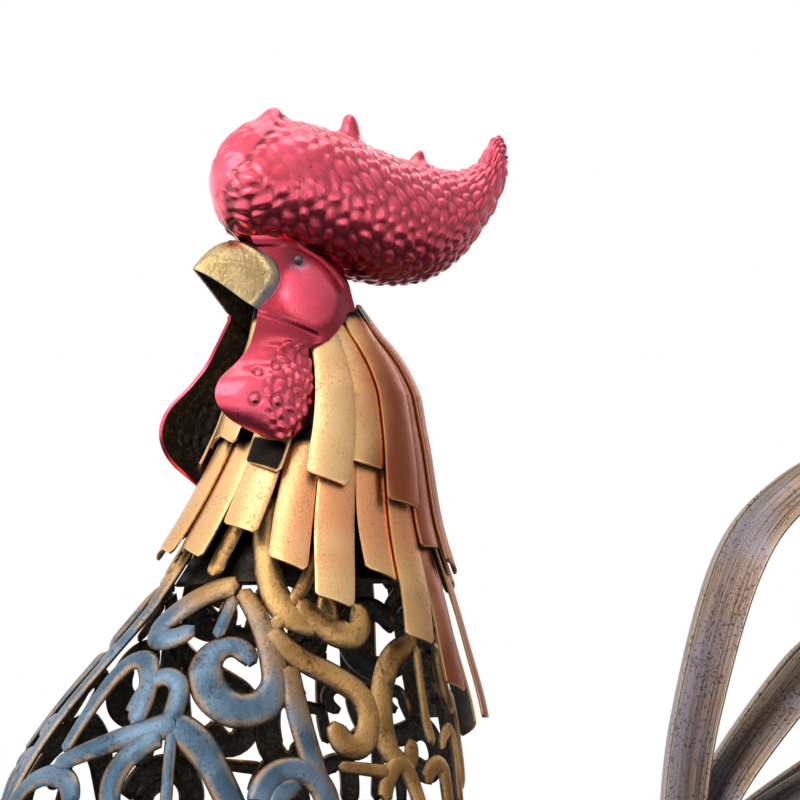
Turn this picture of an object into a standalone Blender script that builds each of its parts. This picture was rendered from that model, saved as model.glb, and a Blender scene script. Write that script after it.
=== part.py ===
"""A standing rooster of cut and pressed sheet metal: an openwork body of scrolls, two tiers of
strip hackle feathers, a pressed head with comb and wattles, a tail of paired ribbons, two rod
legs and a low base plate. It faces -Y, its left side is +X, and it stands on z = 0 with the
origin under the middle of the base. All lengths are in metres."""

import math

import bmesh
import bpy
import numpy as np
from mathutils import Matrix, Vector

# Driving sizes
HEIGHT = 0.460              # ground to the top of the comb
BASE_LENGTH = 0.220         # base plate along Y
BASE_WIDTH = 0.150          # base plate along X
BASE_THICKNESS = 0.006
BASE_CORNER = 0.022         # radius of the plate's corners
FEATHER_SHEET = 0.0010      # hackle strips
SLEEVE_SHEET = 0.0010       # rolled sleeve inside the hackle
HEAD_SHEET = 0.0012         # pressed comb, face and beak
TAIL_SHEET = 0.0012         # tail ribbons
BAND_DEPTH = 0.0056         # scrollwork bands, from ridge to back
BAND_INSET = 0.0006         # from the surface that the hackle lies on to the bands' ridges
FEATHER_ROOT_WIDTH = 0.0095
FEATHER_TIP_WIDTH = 0.0144
TAIL_WIDTH = 0.0200         # one ribbon of a tail pair
SHANK_RADIUS = 0.0044
TOE_TIP_RADIUS = 0.0024
TAIL_BAR_RADIUS = 0.0060    # the bar that the tail ribbons stand on

# Clearances between pieces
GAP = 0.0003                # where two pieces touch
LAP = 0.0006                # between curved strips that lie over each other
WELD_DISTANCE = 0.00002     # cuts closer than this are one point
FEATHER_SPRING = 0.040      # how far a strip lifts off, for each metre down from its root

# The carving is written in 460ths of the height, which are millimetres on the real model
U = HEIGHT / 460

# Sections of the body and neck from the head down: breast (Y, Z), back (Y, Z), half width
SECTIONS = np.array([
    (-23, 392, 7, 392, 12),
    (-27, 370, 24, 370, 20.5),
    (-33, 348, 30, 348, 28.5),
    (-48, 318, 34, 318, 37),
    (-64, 294, 40, 294, 45),
    (-79, 277, 43, 277, 50),
    (-94, 260, 46, 260, 54),
    (-106, 244, 47, 244, 58),
    (-115, 227, 49, 228, 62),
    (-123, 200, 53, 221, 67),
    (-119, 168, 60, 216, 70),
    (-98, 138, 68, 213, 71),
    (-58, 114, 78, 212, 69),
    (-6, 104, 90, 212, 63),
    (46, 112, 103, 214, 53),
    (88, 140, 116, 218, 40),
    (118, 184, 128, 224, 24),
], float) * U

# Hoops of the scrollwork and ends of the sleeve, as places between the sections
NECK_RING = 2.75
FLANK_HOOP = 8.2
HIP_HOOP = 11.0
TAIL_RING = 15.0
SLEEVE_START = 0.12
SLEEVE_END = 2.45           # above the neck ring

BEND_STEP = 60              # degrees that a band may turn from one cross section to the next
BAND_STEP = 26              # and how far it may run, in 460ths

# Scrolls of one side. Start (section, degrees from the breast line), heading (0 runs down the
# body, +90 toward the back), bends (length in 460ths, turn in degrees), widths at the joints.
SCROLLS = {
    "crook": ((3.78, 47), -75, ((27, 40), (12, 135), (11, 50)), (7, 8.5, 8, 6)),
    "strut": ((3.95, 47), 3, ((16, 0),), (4.6, 4.6)),
    "great_curl": ((3.84, 48), 55, ((33, -24), (22, -118), (20, -82), (11, -85), (11, -100)),
                   (5, 8, 11, 10, 7, 6)),
    "throat_hook": ((NECK_RING, 44), 14, ((16, 12), (14, 8), (10, 32), (10, 40), (6, 85), (7, 75)),
                    (7, 7, 8, 9, 9, 8, 4)),
    "throat_tail": ((4.02, 73), 53, ((13, 20), (9, 50), (7, 85), (6, 45)), (5, 8, 9, 7, 4)),
    "shoulder_hook": ((4.55, 66), 58, ((19, 34), (15, -4), (10, -48), (11, -62), (9, -95), (7, -30)),
                      (6, 7, 7.5, 7.5, 8, 8, 4)),
    "shoulder_stem": ((5.25, 77), 28, ((17, 5), (34, 10)), (6, 7, 7)),
    "nape_hook": ((4.86, 125), -84, ((15, 54), (14, 25), (14, 25), (8, 70), (6, 85), (5, 35)),
                  (6, 8, 8, 8, 7, 6, 4)),
    "nape_leaf": ((4.88, 125), 2, ((18, 4), (15, 22)), (4, 4, 5)),
    "roof_left": ((6.30, 52), -54, ((45, -5),), (8.5, 4)),
    "roof_right": ((6.32, 50), 82, ((11, -20), (10, -10), (24, -4)), (9, 10, 8.5, 8)),
    "roof_post": ((6.45, 51), 20, ((34, 0),), (4, 4)),
    "roof_curl": ((6.58, 49), -48, ((10, 20), (9, 25), (8, 25), (10, 30)), (7, 7, 7, 6.5, 6)),
    "breast_loop": ((6.9, 19), -176, ((26, -3), (8, -20), (12, -110), (8, -20), (17, -35)),
                    (4, 6, 7, 7, 6, 5)),
    "breast_arch": ((6.15, 36), -164, ((12, -30), (8, -85), (7, -60), (15, -20)),
                    (5, 6, 6.5, 6, 6)),
    "breast_fan": ((8.15, 4), -176, ((17, -60), (13, -40), (14, -80)), (6, 7, 7, 6)),
    "wing_curl": ((7.95, 79), -173, ((36, -180), (25, -160), (15, -130)), (8, 8, 7, 5)),
    "rump_arch": ((7.9, 111), 177, ((12, -40), (7, -100), (16, -25)), (5, 6, 6, 5)),
    "rump_arch_back": ((7.55, 126), 154, ((10, -50), (6, -90), (12, -20)), (5, 6, 6, 5)),
    "rump_arch_top": ((6.9, 135), 159, ((9, -50), (6, -100), (22, -12)), (4, 5, 5, 5)),
    "rump_tie": ((7.23, 97), 97, ((20, 0),), (4, 5)),
    "throat_tie": ((NECK_RING, 33), -8, ((16, 4), (11, 12)), (6, 6, 6)),
    "belly_curl": ((HIP_HOOP, 22), -172, ((22, -25), (20, -110), (18, -120), (8, -60)),
                   (10, 11, 11, 9, 6)),
    "flank_curl": ((HIP_HOOP, 58), 176, ((24, 25), (20, 110), (18, 120), (8, 60)),
                   (10, 11, 11, 9, 6)),
    "thigh_curl": ((HIP_HOOP, 100), -176, ((22, -25), (16, -110), (14, -120), (8, -60)),
                   (10, 11, 10, 8, 6)),
    "vent_curl": ((HIP_HOOP, 46), 6, ((30, 25), (22, 110), (18, 120), (8, 60)),
                  (10, 11, 11, 9, 6)),
    "rump_curl": ((HIP_HOOP, 112), -4, ((24, -25), (18, -110), (14, -120)), (9, 10, 9, 6)),
    "vent_wave": ((13, 33), 60, ((26, -20), (24, 110), (18, 120), (9, 60)), (9, 12, 12, 9, 6)),
    "thigh_hook": ((12.2, 80), -60, ((22, 15), (20, -110), (16, -120)), (9, 11, 10, 6)),
    "rump_wave": ((HIP_HOOP, 150), 5, ((20, 25), (18, 110), (14, 120)), (9, 10, 9, 6)),
}

# Ribs between the hoops: (section, degrees) at both ends, sideways wave in degrees, width
RIBS = {
    "shoulder_rib": ((FLANK_HOOP, 70), (HIP_HOOP, 78), 5, 11),
    "breast_rib": ((FLANK_HOOP, 32), (HIP_HOOP, 40), -6, 11),
    "saddle_rib": ((FLANK_HOOP, 112), (HIP_HOOP, 118), 5, 10),
    "nape_rib": ((NECK_RING, 140), (4.9, 124), 2, 6),
    "shoulder_yoke": ((NECK_RING, 84), (4.55, 66), 0, 5),
    "hip_rib": ((HIP_HOOP, 22), (TAIL_RING, 36), 4, 12),
    "thigh_rib": ((HIP_HOOP, 78), (TAIL_RING, 104), -7, 12),
    "flank_hoop": ((FLANK_HOOP, 2), (FLANK_HOOP, 178), 0, 6),
}
KEELS = {"breast_keel": ((NECK_RING, 0), (TAIL_RING, 0), 7),
         "spine": ((NECK_RING, 180), (TAIL_RING, 180), 9)}

# Hackle strips of the left side: degrees from the breast line, height of the tip, layer
LOWER_ROOT = 350 * U
LOWER_STRIPS = ((0, 311, 1), (17, 311, 0), (38, 320, 1), (57, 307, 0), (76, 294.5, 1),
                (96, 304, 0), (115, 283, 1), (134, 268, 0), (156, 258, 1), (180, 254, 0))
UPPER_ROOT = 380 * U
UPPER_STRIPS = ((8, 348, 1), (39, 340, 0), (72, 333.7, 1), (91, 339.7, 0), (112, 327, 1),
                (132, 313, 0), (150, 306, 1), (168, 300, 0))
STRIP_LEVEL = 24 * U        # rows of every strip lie at the same heights

# Comb: Y, top, underside, half width
COMB_SECTIONS = ((-44, 438, 428, 4), (-41, 446, 421, 10), (-33, 452, 415, 15), (-20, 453, 410, 18),
                 (-5, 451, 405, 19.5), (10, 446, 401, 19.5), (24, 442, 400, 18), (37, 440, 403, 15),
                 (48, 440, 411, 11.5), (56, 444.5, 421, 8), (61, 451, 429, 5), (64, 448, 438, 2.5))
COMB_SPIKES = ((-20, 460, 0), (6, 457.5, 4), (33, 447, 10))   # Y, top, lean toward the back
COMB_SPIKE_RADIUS = 5.5 * U

# Beak: tip, and the rim where it meets the face, as degrees from the ridge, Y, Z, half width
BEAK_TIP = (-50, 404.5)
BEAK_RIM = ((0, -35, 413.5, 0), (35, -31.5, 412, 7), (65, -26, 407, 11.5),
            (90, -24.8, 401, 13.6), (115, -28, 395, 13.4), (130, -32, 390.5, 12.6))
# Face and wattle of one side: height, front Y, rear Y, distance from the middle at the front,
# in the middle and at the rear. Where the front Y is None, the sheet follows the beak's rim.
FACE_ROWS = ((414.5, -31.5, -18, 7.2, 9, 8.5), (412, None, -15.4, 7.6, 10.5, 10),
             (407, None, -8, 12, 13.6, 12.5), (401, None, -1.5, 14, 16, 13.5),
             (395, None, 2.2, 14, 18, 14), (390.5, None, 3, 13.6, 18.6, 14.2),
             (385, -33.6, -4, 15.5, 20, 18.4), (380, -36, -11, 17.5, 22.4, 21.8),
             (374, -41.5, -17.5, 19.5, 24.5, 23), (367, -50, -18, 22, 28.5, 26),
             (360, -51.5, -19, 23.5, 30, 27.5), (354, -46, -21, 24.5, 29.8, 28.8),
             (349, -36, -26, 26.5, 28.8, 28.8))
FACE_CLEARANCE = 0.0008     # from the beak's rim to the face
WATTLE_TOP = 385            # the right wattle hangs lower than the left, stretched from this height
WATTLE_STRETCH = 0.40
WATTLE_FLARE = (0.32, 0.14)             # and it clears the wider neck: shares moved out and forward
BEAK_ARCH = (0, 0.18, 0.42, 0.7, 1)   # places of the cross sections between tip and rim
BEAK_SWELL = 2.2 * U                  # how far the ridge bows out between them

# Tail pairs: angle at the bar, splay, then the bends (length in 460ths, turn in degrees)
TAIL_PAIRS = ((80, 4, ((50, 6), (60, -26), (75, -50), (70, -68), (35, -15))),
              (62, 6, ((40, 0), (50, -24), (60, -55), (60, -48))),
              (38, 22, ((40, 0), (45, -20), (55, -60), (40, -30))),
              (14, 36, ((40, 0), (45, -30), (45, -45), (25, -15))))
TAIL_BAR = (121 * U, 199 * U)
TAIL_BAR_HALF = 28 * U
TAIL_ROLL = 26              # slope of each ribbon off the middle, in degrees

# Left leg: hip, knee and ankle (X, Y, Z), then the toes (degrees from straight ahead, length)
HIP = Vector((30, 2, 106)) * U
KNEE = Vector((32, 20, 62)) * U
ANKLE = Vector((34, -2, 17)) * U
HIP_PAD_RADIUS = 14 * U
HIP_PAD_THICKNESS = 0.008
THIGH_RADIUS = 12.5 * U
THIGH_LOW_RADIUS = 6.4 * U
KNEE_RADIUS = 6.6 * U
TOES = ((0, 48 * U), (30, 43 * U), (-30, 43 * U), (180, 26 * U))


def paint(name, color, metallic, roughness):
    """A Principled material."""
    material = bpy.data.materials.new(name)
    material.use_nodes = True
    shader = material.node_tree.nodes["Principled BSDF"]
    shader.inputs["Base Color"].default_value = (*color, 1)
    shader.inputs["Metallic"].default_value = metallic
    shader.inputs["Roughness"].default_value = roughness
    material.diffuse_color = (*color, 1)
    return material


def add_object(name, mesh, material, group):
    """An object for the mesh, in its collection, with its own material."""
    mesh.materials.clear()
    mesh.materials.append(material)
    item = bpy.data.objects.new(name, mesh)
    group.objects.link(item)
    return item


def mesh_from(name, points, faces):
    """A mesh of the points and faces."""
    mesh = bpy.data.meshes.new(name)
    mesh.from_pydata([tuple(p) for p in points], [], faces)
    return mesh


def face_outward(mesh):
    """Turns the faces of closed shells outward."""
    work = bmesh.new()
    work.from_mesh(mesh)
    bmesh.ops.recalc_face_normals(work, faces=work.faces)
    work.to_mesh(mesh)
    work.free()


def add_solidify(item, thickness, side):
    """Sheet thickness on an open surface: side 1 grows outward, -1 inward."""
    sheet = item.modifiers.new("Sheet", "SOLIDIFY")
    sheet.thickness = thickness
    sheet.offset = side
    return sheet


def grid_faces(rows, columns, wrap=False):
    """Quads of a grid of points listed row by row."""
    faces = []
    for row in range(rows - 1):
        for column in range(columns if wrap else columns - 1):
            beside = (column + 1) % columns
            faces.append((row * columns + column, (row + 1) * columns + column,
                          (row + 1) * columns + beside, row * columns + beside))
    return faces


def section_at(place):
    """The body's section at a place between the listed ones, by a smooth spline."""
    last = len(SECTIONS) - 1
    place = min(max(place, 0), last)
    index = min(int(place), last - 1)
    x = place - index
    before = SECTIONS[max(index - 1, 0)]
    start, end = SECTIONS[index], SECTIONS[index + 1]
    after = SECTIONS[min(index + 2, last)]
    return 0.5 * (2 * start + (end - before) * x
                  + (2 * before - 5 * start + 4 * end - after) * x ** 2
                  + (3 * start - before - 3 * end + after) * x ** 3)


def skin(place, angle):
    """A point of the body's surface: angle 0 is the breast line, pi the back, pi/2 at +X."""
    front_y, front_z, back_y, back_z, half_width = section_at(place)
    reach = math.cos(angle)
    return np.array((half_width * math.sin(angle),
                     (front_y + back_y) / 2 + (front_y - back_y) / 2 * reach,
                     (front_z + back_z) / 2 + (front_z - back_z) / 2 * reach))


def skin_frame(place, angle):
    """Tangents along the body and around it, and the outward normal."""
    step = 0.001
    along = (skin(place + step, angle) - skin(place - step, angle)) / (2 * step)
    around = (skin(place, angle + step) - skin(place, angle - step)) / (2 * step)
    normal = np.cross(around, along)
    normal /= np.linalg.norm(normal)
    front_y, front_z, back_y, back_z, half_width = section_at(place)
    middle = np.array((0, (front_y + back_y) / 2, (front_z + back_z) / 2))
    if normal @ (skin(place, angle) - middle) < 0:
        normal = -normal
    return along, around, normal


def lifted(place, angle, height):
    """A point above the surface."""
    return skin(place, angle) + height * skin_frame(place, angle)[2]


def place_at_height(height):
    """Where the neck's sections reach a height."""
    low, high = 0.0, 8.0
    for halving in range(40):
        middle = (low + high) / 2
        if skin(middle, math.pi / 2)[2] > height:
            low = middle
        else:
            high = middle
    return low


def walk(start, heading, bends, widths):
    """Follows a scroll over the surface and gives its cross sections: point, side, normal, width."""
    place, angle = start[0], math.radians(start[1])
    along, around, normal = skin_frame(place, angle)
    down = along / np.linalg.norm(along)
    across = np.cross(normal, down)
    turn = math.radians(heading)
    direction = math.cos(turn) * down + math.sin(turn) * across
    stations = [(skin(place, angle), np.cross(normal, direction), normal, widths[0] * U)]
    for number, (length, bend) in enumerate(bends):
        parts = max(1, math.ceil(abs(bend) / BEND_STEP), math.ceil(length / BAND_STEP))
        steps = parts * max(2, math.ceil(length / parts / 1.5))
        for step in range(1, steps + 1):
            tangents = np.stack([along, around], 1)
            move = np.linalg.lstsq(tangents, direction * length * U / steps, rcond=None)[0]
            place += move[0]
            angle += move[1]
            along, around, normal = skin_frame(place, angle)
            direction = direction - (direction @ normal) * normal
            direction /= np.linalg.norm(direction)
            swing = math.radians(bend) / steps
            direction = math.cos(swing) * direction + math.sin(swing) * np.cross(normal, direction)
            if step % (steps // parts) == 0:
                share = step / steps
                width = widths[number] * (1 - share) + widths[number + 1] * share
                side = np.cross(normal, direction)
                stations.append((skin(place, angle), side, normal, width * U))
    return stations


def rib_stations(start, end, wave, width):
    """Cross sections of a rib that runs between two places with one sideways wave."""
    far = skin(*to_radians(end)) - skin(*to_radians(start))
    parts = max(3, math.ceil(np.linalg.norm(far) / (17 * U)), math.ceil(abs(end[1] - start[1]) / 15))
    points = []
    for index in range(parts + 1):
        share = index / parts
        place = start[0] + (end[0] - start[0]) * share
        degrees = start[1] + (end[1] - start[1]) * share + wave * math.sin(2 * math.pi * share)
        points.append((place, math.radians(degrees)))
    return path_stations(points, width, False)


def to_radians(spot):
    """A place and its angle in radians."""
    return spot[0], math.radians(spot[1])


def path_stations(points, width, closed):
    """Cross sections along places on the surface."""
    stations = []
    count = len(points)
    for index, (place, angle) in enumerate(points):
        ahead = points[(index + 1) % count] if closed else points[min(index + 1, count - 1)]
        behind = points[(index - 1) % count] if closed else points[max(index - 1, 0)]
        direction = skin(*ahead) - skin(*behind)
        normal = skin_frame(place, angle)[2]
        direction = direction - (direction @ normal) * normal
        direction /= np.linalg.norm(direction)
        stations.append((skin(place, angle), np.cross(normal, direction), normal, width * U))
    return stations


def band(work, stations, closed=False):
    """A band with a flat back and a ridge outside, swept through its stations."""
    rings = []
    for point, side, normal, width in stations:
        ridge = point - normal * BAND_INSET
        back = ridge - normal * BAND_DEPTH
        corners = (back + side * width / 2, ridge, back - side * width / 2)
        rings.append([work.verts.new(tuple(corner)) for corner in corners])
    count = len(rings)
    faces = []
    for index in range(count if closed else count - 1):
        ring, beyond = rings[index], rings[(index + 1) % count]
        for corner in range(3):
            turn = (corner + 1) % 3
            faces.append(work.faces.new((ring[corner], beyond[corner], beyond[turn], ring[turn])))
    if not closed:
        faces.append(work.faces.new(rings[0]))
        faces.append(work.faces.new(rings[-1][::-1]))
    bmesh.ops.recalc_face_normals(work, faces=faces)


def mirrored(stations):
    """The same band on the other side of the body."""
    flip = np.array((-1, 1, 1))
    return [(point * flip, side * flip, normal * flip, width)
            for point, side, normal, width in stations]


def hoop(place, width, segments=18):
    """A closed band around the body at one place."""
    turns = [2 * math.pi * index / segments for index in range(segments)]
    return path_stations([(place, angle) for angle in turns], width, True)


def keel(start, end, width):
    """A band down the middle of the breast or the back."""
    parts = 14 if start[1] == 0 else 10
    angle = math.radians(start[1])
    places = [start[0] + (end[0] - start[0]) * index / parts for index in range(parts + 1)]
    return path_stations([(place, angle) for place in places], width, False)


def rod(work, start, end, radius, end_radius=None, segments=6):
    """A closed round bar or taper between two points, added to a bmesh."""
    if end_radius is None:
        end_radius = radius
    run = end - start
    turn = run.to_track_quat("Z", "Y").to_matrix().to_4x4()
    bmesh.ops.create_cone(work, cap_ends=True, segments=segments, radius1=radius,
                          radius2=end_radius, depth=run.length,
                          matrix=Matrix.Translation((start + end) / 2) @ turn)


def ball(work, centre, radius):
    """A small round ball, added to a bmesh."""
    bmesh.ops.create_uvsphere(work, u_segments=6, v_segments=4, radius=radius,
                              matrix=Matrix.Translation(centre))


def side_of(point, side):
    """A point of the left side, or its mirror on the right."""
    return Vector((point.x * side, point.y, point.z))


def unite(item, extra, group):
    """Joins the overlapping closed shells of an object, and of a guide, into one solid."""
    guide_mesh = bpy.data.meshes.new(item.name + "_guide")
    extra.to_mesh(guide_mesh)
    extra.free()
    guide = bpy.data.objects.new(item.name + "_guide", guide_mesh)
    guide.hide_render = True
    guide.display_type = "WIRE"
    group.objects.link(guide)
    join = item.modifiers.new("Join", "BOOLEAN")
    join.operation = "UNION"
    join.solver = "EXACT"
    join.use_self = True
    join.object = guide
    weld = item.modifiers.new("Weld", "WELD")
    weld.merge_threshold = WELD_DISTANCE


def build_scrollwork(group, guides):
    """The openwork body: scrolls, ribs and hoops of both sides in one solid."""
    work = bmesh.new()
    for start, heading, bends, widths in SCROLLS.values():
        stations = walk(start, heading, bends, widths)
        band(work, stations)
        band(work, mirrored(stations))
    for start, end, wave, width in RIBS.values():
        stations = rib_stations(start, end, wave, width)
        band(work, stations)
        band(work, mirrored(stations))
    for start, end, width in KEELS.values():
        band(work, keel(start, end, width))
    for place, width in ((HIP_HOOP, 9), (TAIL_RING, 9)):
        band(work, hoop(place, width), closed=True)
    strut = rib_stations((TAIL_RING, 95), (15.85, 95), 0, 8)
    band(work, strut)
    band(work, mirrored(strut))
    mesh = bpy.data.meshes.new("scrollwork_body")
    work.to_mesh(mesh)
    work.free()
    body = add_object("scrollwork_body", mesh,
                      paint("blued_scrollwork", (0.20, 0.27, 0.36), 0.9, 0.42), group)
    extra = bmesh.new()
    band(extra, hoop(NECK_RING, 6, 18), closed=True)
    reach = Vector((TAIL_BAR_HALF, 0, 0))
    bar = Vector((0, TAIL_BAR[0], TAIL_BAR[1]))
    rod(extra, bar - reach, bar + reach, TAIL_BAR_RADIUS, segments=10)
    drop = (KNEE - HIP).normalized()
    for side in (1, -1):
        low = side_of(HIP, side)
        high = side_of(HIP - drop * HIP_PAD_THICKNESS, side)
        rod(extra, high, low, HIP_PAD_RADIUS, segments=14)
    unite(body, extra, guides)


def build_sleeve(group):
    """The rolled sleeve inside the hackle, open at both ends."""
    rows, columns = 4, 16
    points = []
    for row in range(rows):
        place = SLEEVE_START + (SLEEVE_END - SLEEVE_START) * row / (rows - 1)
        for column in range(columns):
            points.append(skin(place, 2 * math.pi * column / columns))
    mesh = mesh_from("neck_sleeve", points, grid_faces(rows, columns, wrap=True))
    sleeve = add_object("neck_sleeve", mesh, paint("sleeve_black", (0.02, 0.018, 0.016), 0.8, 0.6),
                        group)
    add_solidify(sleeve, SLEEVE_SHEET, -1)


def strip_lift(height, layer, upper):
    """How far the inside of a hackle strip stands off the surface at a height."""
    layer_step = FEATHER_SHEET + LAP
    spring = max(LOWER_ROOT - height, 0) * FEATHER_SPRING
    lift = LAP + layer * layer_step + spring
    if upper:
        ramp_end = math.ceil(LOWER_ROOT / STRIP_LEVEL) * STRIP_LEVEL
        ramp = min(max((UPPER_ROOT - height) / (UPPER_ROOT - ramp_end), 0), 1)
        lift += 2 * layer_step * ramp
    return lift


def build_strip(name, degrees, root, tip, layer, upper, material, group):
    """One hackle strip: a curved sheet that hangs from its root."""
    first = math.floor(root / STRIP_LEVEL)
    heights = [root]
    while first * STRIP_LEVEL > tip + 0.004:
        if first * STRIP_LEVEL < root - 0.004:
            heights.append(first * STRIP_LEVEL)
        first -= 1
    heights.append(tip)
    points = []
    for height in heights:
        place = place_at_height(height)
        angle = math.radians(degrees)
        share = (root - height) / (root - tip)
        grow = min(1, share * 1.6)
        width = FEATHER_ROOT_WIDTH + (FEATHER_TIP_WIDTH - FEATHER_ROOT_WIDTH) * grow
        half_turn = width / 2 / np.linalg.norm(skin_frame(place, angle)[1])
        for column in (-1, 0, 1):
            points.append(lifted(place, angle + column * half_turn, strip_lift(height, layer, upper)))
    mesh = mesh_from(name, points, grid_faces(len(heights), 3))
    strip = add_object(name, mesh, material, group)
    add_solidify(strip, FEATHER_SHEET, 1)


def build_hackle(group):
    """Both tiers of strips on both sides."""
    lower_paint = paint("antique_gold", (0.60, 0.38, 0.16), 0.9, 0.4)
    upper_paint = paint("copper_gold", (0.58, 0.27, 0.12), 0.9, 0.4)
    for number, (degrees, tip, layer) in enumerate(LOWER_STRIPS, 1):
        sides = ((1, "left"), (-1, "right")) if degrees not in (0, 180) else ((1, "middle"),)
        for side, word in sides:
            name = f"lower_hackle_{word}_{number:02d}"
            build_strip(name, degrees * side, LOWER_ROOT, tip * U, layer, False, lower_paint, group)
    for number, (degrees, tip, layer) in enumerate(UPPER_STRIPS, 1):
        for side, word in ((1, "left"), (-1, "right")):
            name = f"upper_hackle_{word}_{number:02d}"
            order = layer if side == 1 else 1 - layer
            build_strip(name, degrees * side, UPPER_ROOT, tip * U, order, True, upper_paint, group)


def build_comb(group, guides):
    """The inflated comb: a shell that is open underneath, with three small spikes."""
    columns = 10
    points = []
    for y, top, bottom, half_width in COMB_SECTIONS:
        for column in range(columns):
            turn = 2 * math.pi * column / columns
            points.append((half_width * math.sin(turn) * U, y * U,
                           ((top + bottom) / 2 + (top - bottom) / 2 * math.cos(turn)) * U))
    rows = len(COMB_SECTIONS)
    under = columns // 2
    opening = {(row, column) for row in (2, 3) for column in (under - 1, under)}
    faces = []
    for row in range(rows - 1):
        for column in range(columns):
            if (row, column) not in opening:
                beside = (column + 1) % columns
                faces.append((row * columns + column, row * columns + beside,
                              (row + 1) * columns + beside, (row + 1) * columns + column))
    faces.append(tuple(reversed(range(columns))))
    faces.append(tuple((rows - 1) * columns + column for column in range(columns)))
    comb = add_object("comb", mesh_from("comb", points, faces),
                      paint("candy_red", (0.62, 0.02, 0.06), 0.7, 0.25), group)
    add_solidify(comb, HEAD_SHEET, -1)
    spikes = bmesh.new()
    for y, top, lean in COMB_SPIKES:
        foot = Vector((0, y * U, (top - 10) * U))
        rod(spikes, foot, Vector((0, (y + lean) * U, top * U)), COMB_SPIKE_RADIUS, 1.2 * U, 6)
    unite(comb, spikes, guides)


def beak_rim_at(height):
    """Y of the beak's rim at a height, in 460ths."""
    rim = sorted((z, y) for degrees, y, z, width in BEAK_RIM)
    return float(np.interp(height, [z for z, y in rim], [y for z, y in rim]))


def build_faces(group):
    """The pressed cheek and wattle of each side."""
    material = paint("face_red", (0.62, 0.02, 0.06), 0.7, 0.28)
    columns = 5
    for side, word in ((1, "left"), (-1, "right")):
        points = []
        for height, front, rear, front_x, middle_x, rear_x in FACE_ROWS:
            if front is None:
                front = beak_rim_at(height) + FACE_CLEARANCE / U
            for column in range(columns):
                share = column / (columns - 1)
                edge_x = front_x + (rear_x - front_x) * share
                bulge = middle_x - (front_x + rear_x) / 2
                x = edge_x + bulge * math.sin(math.pi * share)
                hang = max(WATTLE_TOP - height, 0) * WATTLE_STRETCH if side == -1 else 0
                y = front + (rear - front) * share - hang * WATTLE_FLARE[1]
                points.append(((x + hang * WATTLE_FLARE[0]) * side * U, y * U, (height - hang) * U))
        faces = grid_faces(len(FACE_ROWS), columns)
        if side == -1:
            faces = [face[::-1] for face in faces]
        cheek = add_object(f"face_and_wattle_{word}", mesh_from(f"face_{word}", points, faces),
                           material, group)
        add_solidify(cheek, HEAD_SHEET, -1)


def build_beak(group):
    """The upper beak: an arch of sheet that is open underneath."""
    rim = [(-width, y, z) for degrees, y, z, width in reversed(BEAK_RIM[1:])]
    rim += [(width, y, z) for degrees, y, z, width in BEAK_RIM]
    shares = [share for share in BEAK_ARCH if share > 0]
    tip = Vector((0, BEAK_TIP[0], BEAK_TIP[1]))
    points = []
    for share in [0.06] + shares:
        for x, y, z in rim:
            edge = Vector((x * share ** 0.75, 0, 0))
            edge.y = tip.y + (y - tip.y) * share
            edge.z = tip.z + (z - tip.z) * share ** 0.9
            ridge = math.sin(math.pi * share) * BEAK_SWELL / U
            edge.z += ridge * (1 - abs(x) / 13.6)
            points.append(edge * U)
    mesh = mesh_from("beak", points, grid_faces(len(shares) + 1, len(rim)))
    beak = add_object("beak", mesh, paint("beak_gold", (0.55, 0.40, 0.20), 0.9, 0.35), group)
    add_solidify(beak, HEAD_SHEET, -1)


def tail_path(start_angle, bends):
    """Points (Y, Z) and headings along a tail ribbon, from the bar outward."""
    heading = math.radians(start_angle)
    reach = TAIL_BAR_RADIUS + GAP
    point = np.array((TAIL_BAR[0] + reach * math.cos(heading),
                      TAIL_BAR[1] + reach * math.sin(heading)))
    path = [(point, heading)]
    for length, turn in bends:
        parts = max(1, math.ceil(abs(turn) / 26))
        for part in range(parts):
            heading += math.radians(turn) / parts / 2
            point = point + np.array((math.cos(heading), math.sin(heading))) * length * U / parts
            heading += math.radians(turn) / parts / 2
            path.append((point, heading))
    return path


def build_tail(group):
    """Pairs of long ribbons that lean together like a roof."""
    material = paint("bronze_ribbon", (0.33, 0.21, 0.13), 0.9, 0.38)
    slope = math.radians(TAIL_ROLL)
    for number, (start_angle, splay, bends) in enumerate(TAIL_PAIRS, 1):
        path = tail_path(start_angle, bends)
        turn = math.radians(splay)
        for side, word in ((1, "left"), (-1, "right")):
            points = []
            for index, (point, heading) in enumerate(path):
                share = index / (len(path) - 1)
                width = TAIL_WIDTH * (0.8 + 0.2 * min(1, share * 4)) * min(1, 0.35 + (1 - share) * 3)
                over = np.array((-math.sin(heading), math.cos(heading)))
                run = point[0] - TAIL_BAR[0]
                for column in (0, 1, 2):
                    across = column / 2 * width
                    droop = across * math.sin(slope) + 0.06 * width * (column == 1)
                    y, z = point - over * droop
                    x = GAP + TAIL_SHEET * math.sin(slope) + across * math.cos(slope)
                    x += math.tan(turn) * run * share
                    points.append((x * side, y, z))
            faces = grid_faces(len(path), 3)
            if side == 1:
                faces = [face[::-1] for face in faces]
            name = f"tail_ribbon_{word}_{number}"
            ribbon = add_object(name, mesh_from(name, points, faces), material, group)
            add_solidify(ribbon, TAIL_SHEET, -1)


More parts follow.
